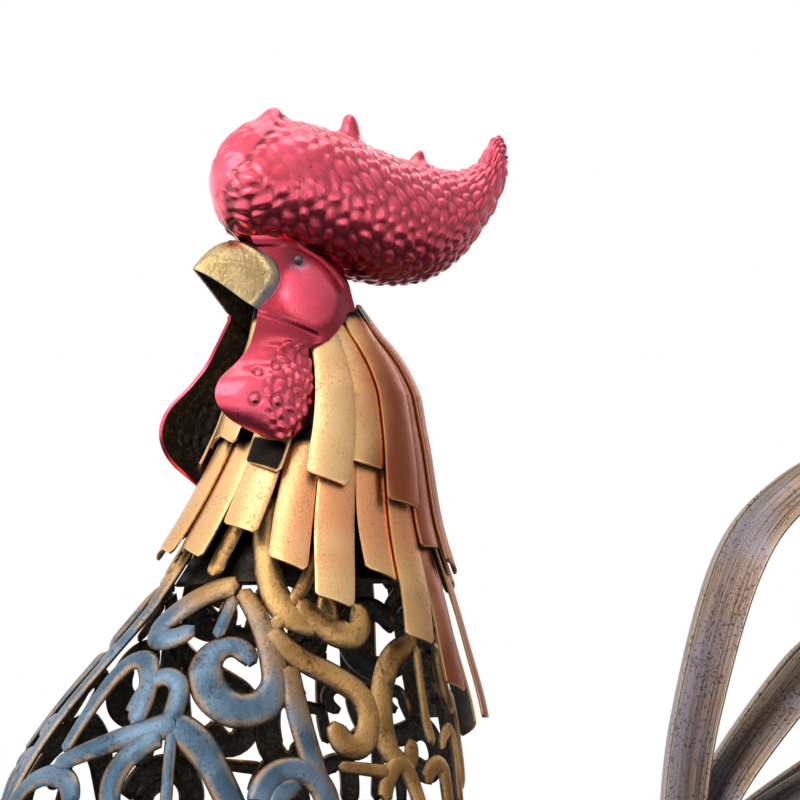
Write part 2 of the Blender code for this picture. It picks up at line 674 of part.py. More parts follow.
def build_legs(group, guides):
    """Thighs, and shanks with their toes."""
    material = paint("leg_gold", (0.50, 0.33, 0.15), 0.9, 0.4)
    drop = (KNEE - HIP).normalized()
    for side, word in ((1, "left"), (-1, "right")):
        thigh = bmesh.new()
        rod(thigh, side_of(HIP + drop * GAP, side), side_of(KNEE - drop * (KNEE_RADIUS + GAP), side),
            THIGH_RADIUS, THIGH_LOW_RADIUS, 14)
        mesh = bpy.data.meshes.new(f"thigh_{word}")
        thigh.to_mesh(mesh)
        thigh.free()
        face_outward(mesh)
        add_object(f"thigh_{word}", mesh, material, group)

        shank = bmesh.new()
        ankle = side_of(ANKLE, side)
        rod(shank, side_of(KNEE, side), ankle, SHANK_RADIUS)
        mesh = bpy.data.meshes.new(f"shank_and_foot_{word}")
        shank.to_mesh(mesh)
        shank.free()
        leg = add_object(f"shank_and_foot_{word}", mesh, material, group)
        toes = bmesh.new()
        ball(toes, side_of(KNEE, side), KNEE_RADIUS)
        ball(toes, ankle, SHANK_RADIUS * 1.35)
        sole = BASE_THICKNESS + GAP
        for degrees, length in TOES:
            turn = math.radians(degrees)
            reach = Vector((math.sin(turn), -math.cos(turn), 0)) * length
            end = Vector((ankle.x, ankle.y, 0)) + reach
            end.z = sole + TOE_TIP_RADIUS
            rod(toes, ankle, end, SHANK_RADIUS, TOE_TIP_RADIUS)
        unite(leg, toes, guides)


def build_base(group):
    """The low base plate with rounded corners."""
    bpy.ops.mesh.primitive_cube_add(size=1, location=(0, 0, BASE_THICKNESS / 2))
    plate = bpy.context.object
    plate.name = "base_plate"
    plate.data.name = "base_plate"
    plate.data.transform(Matrix.Diagonal((BASE_WIDTH, BASE_LENGTH, BASE_THICKNESS, 1)))
    edges = bmesh.new()
    edges.from_mesh(plate.data)
    upright = [edge for edge in edges.edges
               if abs(edge.verts[0].co.z - edge.verts[1].co.z) > BASE_THICKNESS / 2]
    bmesh.ops.bevel(edges, geom=upright, offset=BASE_CORNER, segments=5, affect="EDGES", profile=0.5)
    edges.to_mesh(plate.data)
    edges.free()
    for holder in list(plate.users_collection):
        holder.objects.unlink(plate)
    group.objects.link(plate)
    plate.data.materials.clear()
    plate.data.materials.append(paint("base_bronze", (0.10, 0.075, 0.055), 0.9, 0.5))


def main():
    """Clears the scene and builds every piece."""
    for item in list(bpy.data.objects):
        bpy.data.objects.remove(item, do_unlink=True)
    group = bpy.data.collections.new("metal_rooster")
    guides = bpy.data.collections.new("guides")
    bpy.context.scene.collection.children.link(group)
    bpy.context.scene.collection.children.link(guides)
    build_scrollwork(group, guides)
    build_sleeve(group)
    build_hackle(group)
    build_comb(group, guides)
    build_faces(group)
    build_beak(group)
    build_tail(group)
    build_legs(group, guides)
    build_base(group)


main()
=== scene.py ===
"""Looks of the standing sheet-metal rooster: candy-red head, antique gold hackle, blued and gilded
scrollwork, bronze tail ribbons, brass legs and a dark base. Lengths are in metres, in the frame of
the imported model: it faces -Y, its left side is +X and it stands on z = 0."""

import math

import bmesh
import bpy
import numpy as np
from mathutils import Matrix, Vector


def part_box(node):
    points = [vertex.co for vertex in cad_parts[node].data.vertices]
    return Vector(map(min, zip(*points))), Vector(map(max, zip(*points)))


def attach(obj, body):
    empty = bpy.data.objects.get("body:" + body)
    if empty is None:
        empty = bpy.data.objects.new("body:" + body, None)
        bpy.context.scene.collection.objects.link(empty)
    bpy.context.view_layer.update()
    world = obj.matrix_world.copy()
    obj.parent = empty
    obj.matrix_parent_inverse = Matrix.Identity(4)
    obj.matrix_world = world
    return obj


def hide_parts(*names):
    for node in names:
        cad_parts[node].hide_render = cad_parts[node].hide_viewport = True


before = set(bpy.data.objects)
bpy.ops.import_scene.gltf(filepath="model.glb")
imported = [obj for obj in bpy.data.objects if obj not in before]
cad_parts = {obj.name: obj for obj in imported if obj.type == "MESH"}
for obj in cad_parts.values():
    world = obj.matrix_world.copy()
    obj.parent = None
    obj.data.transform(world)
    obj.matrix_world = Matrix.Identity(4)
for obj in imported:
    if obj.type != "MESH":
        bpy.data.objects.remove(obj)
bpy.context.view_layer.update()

MM = 0.001
SHEET = 1.0 * MM            # thickness of the strips and the sleeve
BAND_SHEET = 1.3 * MM       # of the scroll bands
HEAD_SHEET = 1.2 * MM       # of the comb, cheeks and beak
TAIL_SHEET = 1.2 * MM
RIM = 0.25 * MM             # softening of cut edges
LAP = 0.6 * MM              # gap between strips that lie on each other
FEATHER_SPRING = 0.040      # how much the strips stand off further down, as a share of their length

# Sections of the body and neck from the head down, in mm: breast (Y, Z), back (Y, Z), half width
SECTIONS = np.array([
    (-23, 392, 6.5, 392, 12), (-27, 370, 21, 370, 20.5), (-33, 348, 25.5, 348, 28.5),
    (-48, 318, 29, 318, 37), (-64, 294, 35.5, 294, 45), (-79, 277, 40, 277, 50),
    (-94, 260, 44.5, 260, 54), (-106, 244, 47, 244, 58), (-115, 227, 49, 228, 62),
    (-123, 200, 53, 221, 67), (-119, 168, 60, 216, 70), (-98, 138, 68, 213, 71),
    (-58, 114, 78, 212, 69), (-6, 104, 90, 212, 63), (46, 112, 103, 214, 53),
    (88, 140, 116, 218, 40), (118, 184, 128, 224, 24)], float) * MM
LAST = len(SECTIONS) - 1
NECK_RING = 2.75            # the hoops' places, counted in sections
FLANK_HOOP = 8.2
HIP_HOOP = 11.0
TAIL_RING = 15.0
BAND_WIDER = 1.16           # the puffed bands reach a little past the solids' ridged ones
BAND_COLUMNS = 6            # faces across a band
THIN_SCROLL = 5.5           # scrolls no wider than this keep their widths, in mm
LEAST_WIDTH = 7.0           # the others are at least so wide after their start, in mm
HOLE_LEFT, HOLE_RIGHT = 6.0, 4.7    # holes of a larger radius than this get a filler curl, in mm
MOST_CURLS = 110
KEEL_HALF = 4.0             # half width that the curls leave for the keels and hoops, in mm

# Scrolls of one side: start (section, degrees), heading, bends (length mm, turn), widths in mm
SCROLLS = {
    "crook": ((3.78, 47), -75, ((27, 40), (12, 135), (11, 50)), (7, 8.5, 8, 6)),
    "strut": ((3.95, 47), 3, ((16, 0),), (4.6, 4.6)),
    "great_curl": ((3.84, 48), 55, ((33, -24), (22, -118), (20, -82), (11, -85), (11, -100)),
                   (5, 8, 11, 10, 7, 6)),
    "throat_hook": ((NECK_RING, 44), 14, ((16, 12), (14, 8), (10, 32), (10, 40), (6, 85), (7, 75)),
                    (7, 7, 8, 9, 9, 8, 4)),
    "throat_tail": ((4.02, 73), 53, ((13, 20), (9, 50), (7, 85), (6, 45)), (5, 8, 9, 7, 4)),
    "shoulder_hook": ((4.55, 66), 58, ((19, 34), (15, -4), (10, -48), (11, -62), (9, -95), (7, -30)),
                      (6, 7, 7.5, 7.5, 8, 8, 4)),
    "shoulder_stem": ((5.25, 77), 28, ((17, 5), (34, 10)), (6, 7, 7)),
    "nape_hook": ((4.86, 125), -84, ((15, 54), (14, 25), (14, 25), (8, 70), (6, 85), (5, 35)),
                  (6, 8, 8, 8, 7, 6, 4)),
    "nape_leaf": ((4.88, 125), 2, ((18, 4), (15, 22)), (4, 4, 5)),
    "roof_left": ((6.30, 52), -54, ((45, -5),), (8.5, 4)),
    "roof_right": ((6.32, 50), 82, ((11, -20), (10, -10), (24, -4)), (9, 10, 8.5, 8)),
    "roof_post": ((6.45, 51), 20, ((34, 0),), (4, 4)),
    "roof_curl": ((6.58, 49), -48, ((10, 20), (9, 25), (8, 25), (10, 30)), (7, 7, 7, 6.5, 6)),
    "breast_loop": ((6.9, 19), -176, ((26, -3), (8, -20), (12, -110), (8, -20), (17, -35)),
                    (4, 6, 7, 7, 6, 5)),
    "breast_arch": ((6.15, 36), -164, ((12, -30), (8, -85), (7, -60), (15, -20)),
                    (5, 6, 6.5, 6, 6)),
    "breast_fan": ((8.15, 4), -176, ((17, -60), (13, -40), (14, -80)), (6, 7, 7, 6)),
    "wing_curl": ((7.95, 79), -173, ((36, -180), (25, -160), (15, -130)), (8, 8, 7, 5)),
    "rump_arch": ((7.9, 111), 177, ((12, -40), (7, -100), (16, -25)), (5, 6, 6, 5)),
    "rump_arch_back": ((7.55, 126), 154, ((10, -50), (6, -90), (12, -20)), (5, 6, 6, 5)),
    "rump_arch_top": ((6.9, 135), 159, ((9, -50), (6, -100), (22, -12)), (4, 5, 5, 5)),
    "rump_tie": ((7.23, 97), 97, ((20, 0),), (4, 5)),
    "throat_tie": ((NECK_RING, 33), -8, ((16, 4), (11, 12)), (6, 6, 6)),
    "belly_curl": ((HIP_HOOP, 22), -172, ((22, -25), (20, -110), (18, -120), (8, -60)),
                   (10, 11, 11, 9, 6)),
    "flank_curl": ((HIP_HOOP, 58), 176, ((24, 25), (20, 110), (18, 120), (8, 60)),
                   (10, 11, 11, 9, 6)),
    "thigh_curl": ((HIP_HOOP, 100), -176, ((22, -25), (16, -110), (14, -120), (8, -60)),
                   (10, 11, 10, 8, 6)),
    "vent_curl": ((HIP_HOOP, 46), 6, ((30, 25), (22, 110), (18, 120), (8, 60)),
                  (10, 11, 11, 9, 6)),
    "rump_curl": ((HIP_HOOP, 112), -4, ((24, -25), (18, -110), (14, -120)), (9, 10, 9, 6)),
    "vent_wave": ((13, 33), 60, ((26, -20), (24, 110), (18, 120), (9, 60)), (9, 12, 12, 9, 6)),
    "thigh_hook": ((12.2, 80), -60, ((22, 15), (20, -110), (16, -120)), (9, 11, 10, 6)),
    "rump_wave": ((HIP_HOOP, 150), 5, ((20, 25), (18, 110), (14, 120)), (9, 10, 9, 6)),
    "crop_curl": ((FLANK_HOOP, 18), 4, ((24, 22), (20, 110), (16, 120), (8, 60)), (8, 9, 9, 8, 6)),
    "side_curl": ((9.6, 115), -95, ((22, -15), (18, -110), (14, -120)), (8, 9, 8, 6)),
    "thigh_wave": ((13, 92), 110, ((24, 20), (22, -110), (18, -120)), (8, 10, 9, 6)),
    "tail_curl": ((TAIL_RING, 66), 178, ((22, -20), (18, -110), (14, -120)), (8, 9, 8, 6)),
    "tail_curl_back": ((TAIL_RING, 140), 178, ((18, 20), (16, 110), (13, 120)), (8, 9, 8, 6)),
}
# Ribs: (section, degrees) at both ends, sideways wave in degrees, width in mm
RIBS = {
    "shoulder_rib": ((FLANK_HOOP, 70), (HIP_HOOP, 78), 5, 11),
    "breast_rib": ((FLANK_HOOP, 32), (HIP_HOOP, 40), -6, 11),
    "saddle_rib": ((FLANK_HOOP, 112), (HIP_HOOP, 118), 5, 10),
    "nape_rib": ((NECK_RING, 140), (4.9, 124), 2, 6),
    "shoulder_yoke": ((NECK_RING, 84), (4.55, 66), 0, 5),
    "hip_rib": ((HIP_HOOP, 22), (TAIL_RING, 36), 4, 12),
    "thigh_rib": ((HIP_HOOP, 78), (TAIL_RING, 104), -7, 12),
    "flank_hoop": ((FLANK_HOOP, 2), (FLANK_HOOP, 178), 0, 6),
    "tail_strut": ((TAIL_RING, 95), (15.85, 95), 0, 8),
}

# Hackle strips: degrees from the breast line, height of the tip in mm, layer
LOWER_ROOT = 350 * MM
LOWER_STRIPS = ((0, 311, 1), (17, 311, 0), (38, 320, 1), (57, 307, 0), (76, 294.5, 1),
                (96, 304, 0), (115, 283, 1), (134, 268, 0), (156, 258, 1), (180, 254, 0))
UPPER_ROOT = 380 * MM
STRIP_SLANTS = (1.9, 1.2, 1.7, 1.4, 2.0, 1.6, 1.9, 1.3, 1.1, 0.0)   # of the tips, in mm, in turn
TIP_DROP = 4.2 * MM         # about how far the strips reach past the solids' tips
WATTLE_STRIPS = (38, 39)    # degrees of the two strips behind the wattle
WATTLE_TIP_DROP = 6.2 * MM  # and how far these reach
SPLAY = 5.5                 # how many degrees the lower strips of the side lean back at their tips
CAMBER = 0.75 * MM          # how far the middle of a strip stands off its edges
UPPER_TUCK = 10.5 * MM      # how far the upper strips run on under the cheeks
UPPER_STRIPS = ((8, 348, 1), (39, 340, 0), (72, 333.7, 1), (91, 339.7, 0), (112, 327, 1),
                (132, 313, 0), (150, 306, 1), (168, 300, 0))

# Comb: Y, top, underside and half width in mm, then the small spikes: Y, height, spread
COMB_PROFILE = np.array([
    (-42.5, 434, 434, 0), (-42.2, 436.8, 430, 2.4), (-41, 440, 425, 5.5), (-38.5, 445, 418.5, 9.5),
    (-35, 448.6, 414.6, 13), (-31, 451.6, 411.8, 15.5), (-20, 453.4, 409, 18.2), (-5, 452, 405, 19.5),
    (10, 447.5, 401, 19.5), (24, 443, 400, 18), (37, 440.5, 403, 15), (48, 440, 411, 11.5),
    (56, 444.5, 421, 8), (61, 452, 428.5, 5), (63.6, 451, 435, 3.2), (64.8, 447, 440, 1.6),
    (65.1, 444, 444, 0)], float)
COMB_KNOBS = ((-20.5, 4.2, 4.4), (7.5, 8.6, 3.4), (33, 5.0, 2.6))

# Beak: tip, and the rim against the face as degrees from the ridge, Y, Z, half width in mm
BEAK_TIP = (-48.9, 402.8)
BEAK_RIM = np.array([(0, -34.2, 412.6, 0), (35, -30.4, 410.6, 7), (65, -25, 405.4, 11.5),
                     (90, -23.6, 399.2, 13.6), (115, -26.8, 393.2, 13.4), (130, -30.8, 388.8, 12.6)],
                    float)

# Face and wattle from the bottom up, in mm: height, front Y, rear Y, X at front, middle and rear
FACE_ROWS = np.array([
    (346, -34.6, -25, 26.5, 28.8, 28.8), (351, -44.4, -20.4, 24.5, 29.8, 28.8),
    (357, -49.6, -18, 23.5, 30, 27.5), (364, -48.6, -17, 22, 28.5, 26),
    (371.5, -40.4, -16.6, 19.5, 24.8, 23.6), (376, -36.4, -16.2, 18.2, 23.6, 22.6),
    (378.2, -35.2, -11.2, 17.4, 22.4, 21.8), (381, -34, -6.8, 16.4, 21.4, 20.4),
    (384.5, -32.6, -3.4, 15.2, 20.4, 18.2), (389, -30.8, 2.6, 13.4, 18.8, 14.4),
    (393.2, -26.7, 2.4, 13.8, 18, 14), (399.2, -23.6, -1, 13.8, 16, 13.5),
    (405.4, -25, -7, 11.8, 13.8, 12.5), (410.6, -30, -14.4, 7.6, 10.8, 10),
    (413.6, -31.4, -17.4, 7.2, 9, 8.5)], float)
# Pressed rings of the wattle: Y, Z, radius
WATTLE_RINGS = ((-31.5, 357.5, 1.9), (-38.5, 358, 1.7), (-36, 366.5, 1.5), (-29.5, 369, 1.6))
WATTLE_DROP = (384.5, 0.34)     # the right wattle hangs lower from this height, by this share
WATTLE_FLARE = (0.25, 0.10)     # and that share of the drop further out and forward
EYE = Vector((13.4, -16.9, 405.8)) * MM
BEAK_CORNER = Vector((13.5, -25, 395)) * MM     # where the face is blued by the beak's rim
CHEEK = Vector((0, -14.5, 394.5)) * MM          # middle of the bright cheek

# Back of the head from the bottom up, in mm: height, back Y, front Y, half width
NAPE_ROWS = np.array([(383, 6.5, -6, 12.6), (388, 6.6, -5, 12.4), (392, 6.4, -4, 12.6),
                      (397, 5.8, -6, 12.6), (402, 4.0, -10, 11.8), (406.5, 1.5, -14, 10.4)])

# Tail pairs: angle at the bar, splay, then the bends (length in mm, turn in degrees)
TAIL_PAIRS = ((80, 4, ((50, 6), (60, -26), (75, -50), (70, -68), (35, -15))),
              (62, 6, ((40, 0), (50, -24), (60, -55), (60, -48))),
              (38, 22, ((40, 0), (45, -20), (55, -60), (40, -30))),
              (14, 36, ((40, 0), (45, -30), (45, -45), (25, -15))))
TAIL_BAR = np.array((121, 199)) * MM
TAIL_BAR_RADIUS = 6.0 * MM
TAIL_BAR_HALF = 28 * MM
TAIL_GAP = 0.3 * MM         # between the bar and the ribbons, and between the two of a pair
TAIL_ROLL = math.radians(26)
TAIL_WIDTH = 20 * MM

# Left leg, and the base plate
BASE_CORNER = 22 * MM
HIP = Vector((30, 2, 106)) * MM
KNEE = Vector((32, 20, 62)) * MM
ANKLE = Vector((34, -2, 17)) * MM
TOES = ((0, 48), (30, 43), (-30, 43), (180, 26))
TOE_HEIGHT = 8.7 * MM           # of a toe's middle at its end, above the plate's underside

# The photograph's view: azimuth and elevation, lens in mm for a 36 mm frame
VIEW_DEGREES = (66, -4)
VIEW_TARGET = Vector((0, 25.7, 361.5)) * MM
VIEW_DISTANCE = 1500 * MM
LENS = 201.5


# Finishes

class Nodes:
    """A node tree, with the steps that its values go through."""

    def __init__(self, tree):
        self.tree = tree

    def put(self, value, socket):
        """Sets a socket, or wires it."""
        if isinstance(value, bpy.types.NodeSocket):
            self.tree.links.new(value, socket)
        else:
            socket.default_value = value

    def add(self, kind, values=(), **settings):
        """A node with its settings and inputs."""
        item = self.tree.nodes.new("ShaderNode" + kind)
        for key, value in settings.items():
            setattr(item, key, value)
        for key, value in dict(values).items():
            self.put(value, item.inputs[key])
        return item

    def calc(self, operation, first, second=0.0):
        """The result of one sum."""
        return self.add("Math", {0: first, 1: second}, operation=operation).outputs[0]

    def times(self, first, second):
        """The product of two values."""
        return self.calc("MULTIPLY", first, second)

    def plus(self, first, second):
        """The sum of two values."""
        return self.calc("ADD", first, second)

    def rest(self, value):
        """What a value leaves of 1."""
        return self.calc("SUBTRACT", 1.0, value)

    def fade(self, value, low, high):
        """0 below low and 1 above high, with a soft step between."""
        return self.add("MapRange", {"Value": value, "From Min": low, "From Max": high},
                        interpolation_type="SMOOTHSTEP").outputs[0]

    def noise(self, place, scale, detail, roughness=0.5):
        """Clouds, from 0 to 1."""
        return self.add("TexNoise", {"Vector": place, "Scale": scale, "Detail": detail,
                                     "Roughness": roughness}).outputs[0]

    def split(self, vector):
        """The three numbers of a vector."""
        return self.add("SeparateXYZ", {0: vector}).outputs

    def join(self, x, y, z=0.0):
        """A vector of three numbers."""
        return self.add("CombineXYZ", {0: x, 1: y, 2: z}).outputs[0]

    def gap(self, first, second):
        """How far two places are apart."""
        return self.add("VectorMath", {0: first, 1: second}, operation="DISTANCE").outputs["Value"]

    def stretch(self, place, scale):
        """A place with its three numbers scaled."""
        return self.add("Mapping", {"Vector": place, "Scale": scale}).outputs[0]

    def tint(self, factor, first, second):
        """One colour laid over another."""
        return self.add("Mix", {0: factor, 6: first, 7: second}, data_type="RGBA").outputs[2]


def new_group(name, inputs, outputs):
    """A shared node group: its nodes, and the sockets of its named inputs and outputs."""
    group = bpy.data.node_groups.new(name, "ShaderNodeTree")
    for label in inputs:
        kind = "Vector" if label in ("Place", "UV") else "Float"
        group.interface.new_socket(name=label, in_out="INPUT", socket_type="NodeSocket" + kind)
    for label in outputs:
        group.interface.new_socket(name=label, in_out="OUTPUT", socket_type="NodeSocketFloat")
    given, result = group.nodes.new("NodeGroupInput"), group.nodes.new("NodeGroupOutput")
    return Nodes(group), given.outputs, result.inputs


def patina_group():
    """Fine dark specks and broad soft smears."""
    nodes, given, result = new_group("dark_patina", ("Place", "Speck Scale", "Speck Cover",
                                                     "Smear Scale", "Smear Cover"),
                                     ("Specks", "Smears"))
    fine = nodes.noise(given["Place"], given["Speck Scale"], 4, 0.65)
    patch = nodes.noise(given["Place"], given["Smear Scale"], 3, 0.6)
    mixed = nodes.plus(fine, nodes.times(patch, 0.30))
    for label, value, softness in (("Speck", mixed, 0.07), ("Smear", patch, 0.22)):
        low = nodes.rest(given[label + " Cover"])
        nodes.put(nodes.fade(value, low, nodes.plus(low, softness)), result[label + "s"])
    return nodes.tree


def edge_group():
    """How near the surface is to the two long edges of a strip or band, and to its free tip."""
    nodes, given, result = new_group("edge_wear_and_glint", ("UV", "Width", "Tip"), ("Edge",))
    across, along, _ = nodes.split(given["UV"])
    off = nodes.calc("ABSOLUTE", nodes.times(nodes.plus(across, -0.5), 2.0))
    side = nodes.fade(off, nodes.rest(given["Width"]), 1.0)
    tip = nodes.fade(along, nodes.rest(given["Tip"]), 1.0)
    nodes.put(nodes.calc("MAXIMUM", side, tip), result["Edge"])
    return nodes.tree


def grain_group():
    """Height of a rolled and rubbed sheet: fine grain, and long soft dents."""
    nodes, given, result = new_group("sheet_grain", ("Place", "Grain Scale", "Dent Scale", "Dent"),
                                     ("Height",))
    fine = nodes.noise(given["Place"], given["Grain Scale"], 5, 0.6)
    dent = nodes.noise(given["Place"], given["Dent Scale"], 2)
    nodes.put(nodes.plus(fine, nodes.times(dent, given["Dent"])), result["Height"])
    return nodes.tree


PATINA = patina_group()
EDGE_WEAR_AND_GLINT = edge_group()
SHEET_GRAIN = grain_group()


class Finish(Nodes):
    """A Principled material, with a base colour that tones are laid over."""

    def __init__(self, name, metallic, roughness, coat=0.0, coat_roughness=0.1):
        self.material = bpy.data.materials.new(name)
        self.material.use_nodes = True
        super().__init__(self.material.node_tree)
        self.shader = self.tree.nodes["Principled BSDF"].inputs
        for key, value in (("Metallic", metallic), ("Roughness", roughness),
                           ("Coat Weight", coat), ("Coat Roughness", coat_roughness)):
            self.shader[key].default_value = value
        spot = self.add("TexCoord").outputs
        self.place, self.uv = spot["Object"], spot["UV"]
        self.x, self.y, self.z = self.split(self.place)

    def ground(self, factor, first, second):
        """The base colour's first two tones."""
        self.color = self.tint(factor, (*first, 1), (*second, 1))

    def lay(self, factor, strength, tone):
        """A tone laid over the base colour, as a factor times a strength."""
        self.color = self.tint(self.times(factor, strength), self.color, (*tone, 1))

    def shared(self, group, *values):
        """The outputs of a shared group, its inputs given in order."""
        return self.add("Group", dict(enumerate(values)), node_tree=group).outputs

    def dirt(self, *values, place=None):
        """Specks and smears: scale and cover of the specks, then of the smears."""
        return self.shared(PATINA, place or self.place, *values)

    def edge(self, width, tip=0.0):
        """Nearness to the long edges and the tip, for wear and for painted highlights along the rims.
        """
        return self.shared(EDGE_WEAR_AND_GLINT, self.uv, width, tip)[0]

    def grain(self, *values):
        """Sheet grain: scale of the grain, then scale and height of the dents."""
        return self.shared(SHEET_GRAIN, self.place, *values)[0]

    def mark(self, name):
        """A value that the mesh carries."""
        return self.add("Attribute", attribute_name=name).outputs["Fac"]

    def rough(self, low, value, share):
        """Roughness from a low value up, by a share of another value."""
        self.put(self.plus(low, self.times(value, share)), self.shader["Roughness"])

    def done(self, height=None, depth=0.0):
        """The material, with its colour and its relief wired."""
        self.put(self.color, self.shader["Base Color"])
        if height:
            relief = self.add("Bump", {"Height": height, "Distance": depth, "Strength": 1.0})
            self.put(relief.outputs[0], self.shader["Normal"])
        return self.material


def candy_red(name, dark_grooves, cheek_shade_strength):
    """Candy lacquer on pressed metal: deep red where the lacquer lies thick in the grooves, blued near
    the eye, and painted shade on the face all round the cheek's highlight.
    """
    red = Finish(name, 1.0, 0.27, 1.0, 0.13)
    red.shader["Coat IOR"].default_value = 1.62
    y, z = red.y, red.z
    cloud = red.noise(red.place, 55, 3)
    red.ground(red.fade(cloud, 0.35, 0.7), (0.97, 0.080, 0.155), (0.86, 0.046, 0.100))
    groove = red.fade(red.times(red.mark("relief"), -1.0), -0.1, 0.9)
    red.lay(groove, dark_grooves, (0.20, 0.003, 0.009))
    near = red.join(red.calc("ABSOLUTE", red.x), y, z)
    blued = red.rest(red.fade(red.gap(near, EYE), 0.0022, 0.0072))
    beak_rim = red.rest(red.fade(red.gap(near, BEAK_CORNER), 0.0010, 0.0050))
    blued = red.calc("MAXIMUM", blued, red.times(beak_rim, 0.35))
    blued = red.times(blued, red.fade(cloud, 0.22, 0.45))
    red.lay(blued, 0.85, (0.16, 0.13, 0.19))
    # Painted shade: the face is painted darker all round the cheek's highlight, between set heights.
    swell = red.join(red.times(red.plus(y, -CHEEK.y), 105), red.times(red.plus(z, -CHEEK.z), 88))
    painted_cheek_shade = red.fade(red.gap(swell, (0, 0, 0)), 0.78, 1.12)
    painted_cheek_shade = red.times(painted_cheek_shade, red.fade(z, 0.366, 0.382))
    painted_cheek_shade = red.times(painted_cheek_shade, red.rest(red.fade(z, 0.4120, 0.4132)))
    painted_cheek_shade = red.times(painted_cheek_shade, cheek_shade_strength)
    red.lay(painted_cheek_shade, 1.0, (0.26, 0.010, 0.024))
    # The coat is dulled where the face gets painted shade and where it is blued.
    dull = red.times(red.calc("MAXIMUM", painted_cheek_shade, blued), 0.75)
    red.put(red.rest(dull), red.shader["Coat Weight"])
    red.lay(red.dirt(900, 0.24, 90, 0.38)[0], 0.5, (0.10, 0.004, 0.010))
    red.rough(0.22, cloud, 0.14)
    return red.done(red.grain(700, 160, 1.6), 0.00012)


def soot_black():
    """Matt black paint inside the shells."""
    black = Finish("soot_black", 0.0, 0.62)
    specks, smears = black.dirt(600, 0.34, 70, 0.42)
    black.ground(smears, (0.006, 0.0055, 0.005), (0.020, 0.016, 0.011))
    black.lay(specks, 0.5, (0.09, 0.055, 0.022))
    return black.done(black.grain(500, 120, 1.0), 0.0002)


def hackle_metal(name, upper):
    """Antique gold that turns copper and then red-brown toward the back, with dark specks; the
    red-brown is deepened as painted shade, the roots and seams carry a sooty patina with painted shade,
    the tips behind the wattle a painted shadow, the rims a painted highlight, and the lower tier is
    painted lighter.
    """
    gold = Finish(name, 1.0, 0.42)
    drift = gold.noise(gold.place, 38, 2)
    shift = gold.times(gold.plus(drift, -0.5), 0.020)
    # Painted light: the lower tier's gold is painted 10% lighter than the upper tier's.
    bright = 1.0 if upper else 1.1
    gold.ground(gold.fade(drift, 0.3, 0.7), (0.90 * bright, 0.59 * bright, 0.29 * bright),
                (0.81 * bright, 0.48 * bright, 0.20 * bright))
    back = gold.plus(gold.y, shift)
    if upper:
        gilt_tip = gold.times(gold.fade(gold.split(gold.uv)[1], 0.55, 0.95), 0.7)
        copper = gold.times(gold.fade(back, -0.014, 0.008), gold.rest(gilt_tip))
        brown = gold.fade(back, -0.004, 0.012)
    else:
        height = gold.plus(gold.z, shift)
        band = gold.times(gold.fade(height, 0.298, 0.320), gold.rest(gold.fade(height, 0.334, 0.350)))
        copper = gold.times(band, gold.fade(back, -0.048, -0.024))
        brown = gold.fade(back, 0.006, 0.026)
    gold.lay(copper, 1.0, (0.90, 0.40, 0.18))
    # Red-brown tone toward the back, made deeper as painted shade on the back-facing strips.
    gold.lay(brown, 1.0, (0.33, 0.085, 0.035))
    gold.lay(gold.rest(gold.fade(back, -0.052, -0.034)), 0.55, (0.50, 0.24, 0.10))
    drawn = gold.stretch(gold.place, (1, 1, 0.28))
    specks, smears = gold.dirt(1700, 0.275, 150, 0.36, place=drawn)
    gold.lay(smears, 0.30, (0.40, 0.27, 0.15))
    gold.lay(specks, 0.42, (0.16, 0.13, 0.12))
    # Dark patina together with painted shade at the roots and seams, and a painted shadow on the tips
    # behind the wattle.
    soot_and_shade = gold.plus(gold.mark("soot_and_shade"), gold.times(gold.noise(drawn, 420, 4), 0.55))
    gold.lay(gold.fade(soot_and_shade, 0.55, 1.05), 1.0, (0.012, 0.009, 0.007))
    # Painted highlight along the rims and the tip.
    gold.lay(gold.edge(0.07, 0.012), 0.55, (0.88, 0.56, 0.27))
    gold.rough(0.36, specks, 0.3)
    return gold.done(gold.grain(900, 140, 2.0), 0.00007)


def scroll_metal():
    """Blued steel on the breast that turns gilt toward the back and neck, with gilt edges."""
    steel = Finish("scroll_metal", 1.0, 0.40)
    drift = steel.noise(steel.place, 45, 3)
    shift = steel.times(steel.plus(drift, -0.5), 0.030)
    back = steel.plus(steel.plus(steel.y, 0.020), steel.times(steel.plus(steel.z, -0.227), 0.47))
    back = steel.fade(steel.plus(back, shift), -0.006, 0.012)
    high = steel.fade(steel.plus(steel.z, shift), 0.286, 0.300)
    steel.ground(steel.fade(drift, 0.35, 0.65), (0.060, 0.105, 0.155), (0.165, 0.240, 0.320))
    gilt = steel.tint(steel.fade(drift, 0.35, 0.62), (0.66, 0.38, 0.14, 1), (0.34, 0.17, 0.055, 1))
    steel.color = steel.tint(steel.calc("MAXIMUM", back, high), steel.color, gilt)
    rub = steel.noise(steel.place, 140, 4)
    steel.lay(steel.times(steel.edge(0.62), steel.fade(rub, 0.36, 0.54)), 0.90, (0.52, 0.33, 0.17))
    specks, smears = steel.dirt(900, 0.27, 95, 0.41)
    steel.lay(smears, 0.80, (0.030, 0.026, 0.024))
    steel.lay(specks, 0.55, (0.030, 0.024, 0.020))
    grime = steel.times(steel.edge(0.24), steel.fade(rub, 0.30, 0.52))
    steel.lay(grime, 0.85, (0.020, 0.016, 0.013))
    steel.rough(0.34, rub, 0.16)
    return steel.done(steel.grain(800, 170, 2.4), 0.00022)


def beak_metal():
    """Old gold, blued where it meets the face."""
    gold = Finish("beak_metal", 1.0, 0.34)
    cloud = gold.noise(gold.place, 120, 4)
    gold.ground(gold.fade(cloud, 0.3, 0.7), (0.62, 0.45, 0.22), (0.44, 0.30, 0.135))
    specks, smears = gold.dirt(900, 0.27, 150, 0.42)
    gold.lay(smears, 0.5, (0.20, 0.13, 0.06))
    root = gold.plus(gold.split(gold.uv)[1], gold.times(cloud, 0.25))
    gold.lay(gold.fade(root, 0.94, 1.10), 0.85, (0.08, 0.08, 0.125))
    gold.lay(specks, 0.4, (0.06, 0.04, 0.025))
    return gold.done(gold.grain(800, 200, 2.0), 0.00018)


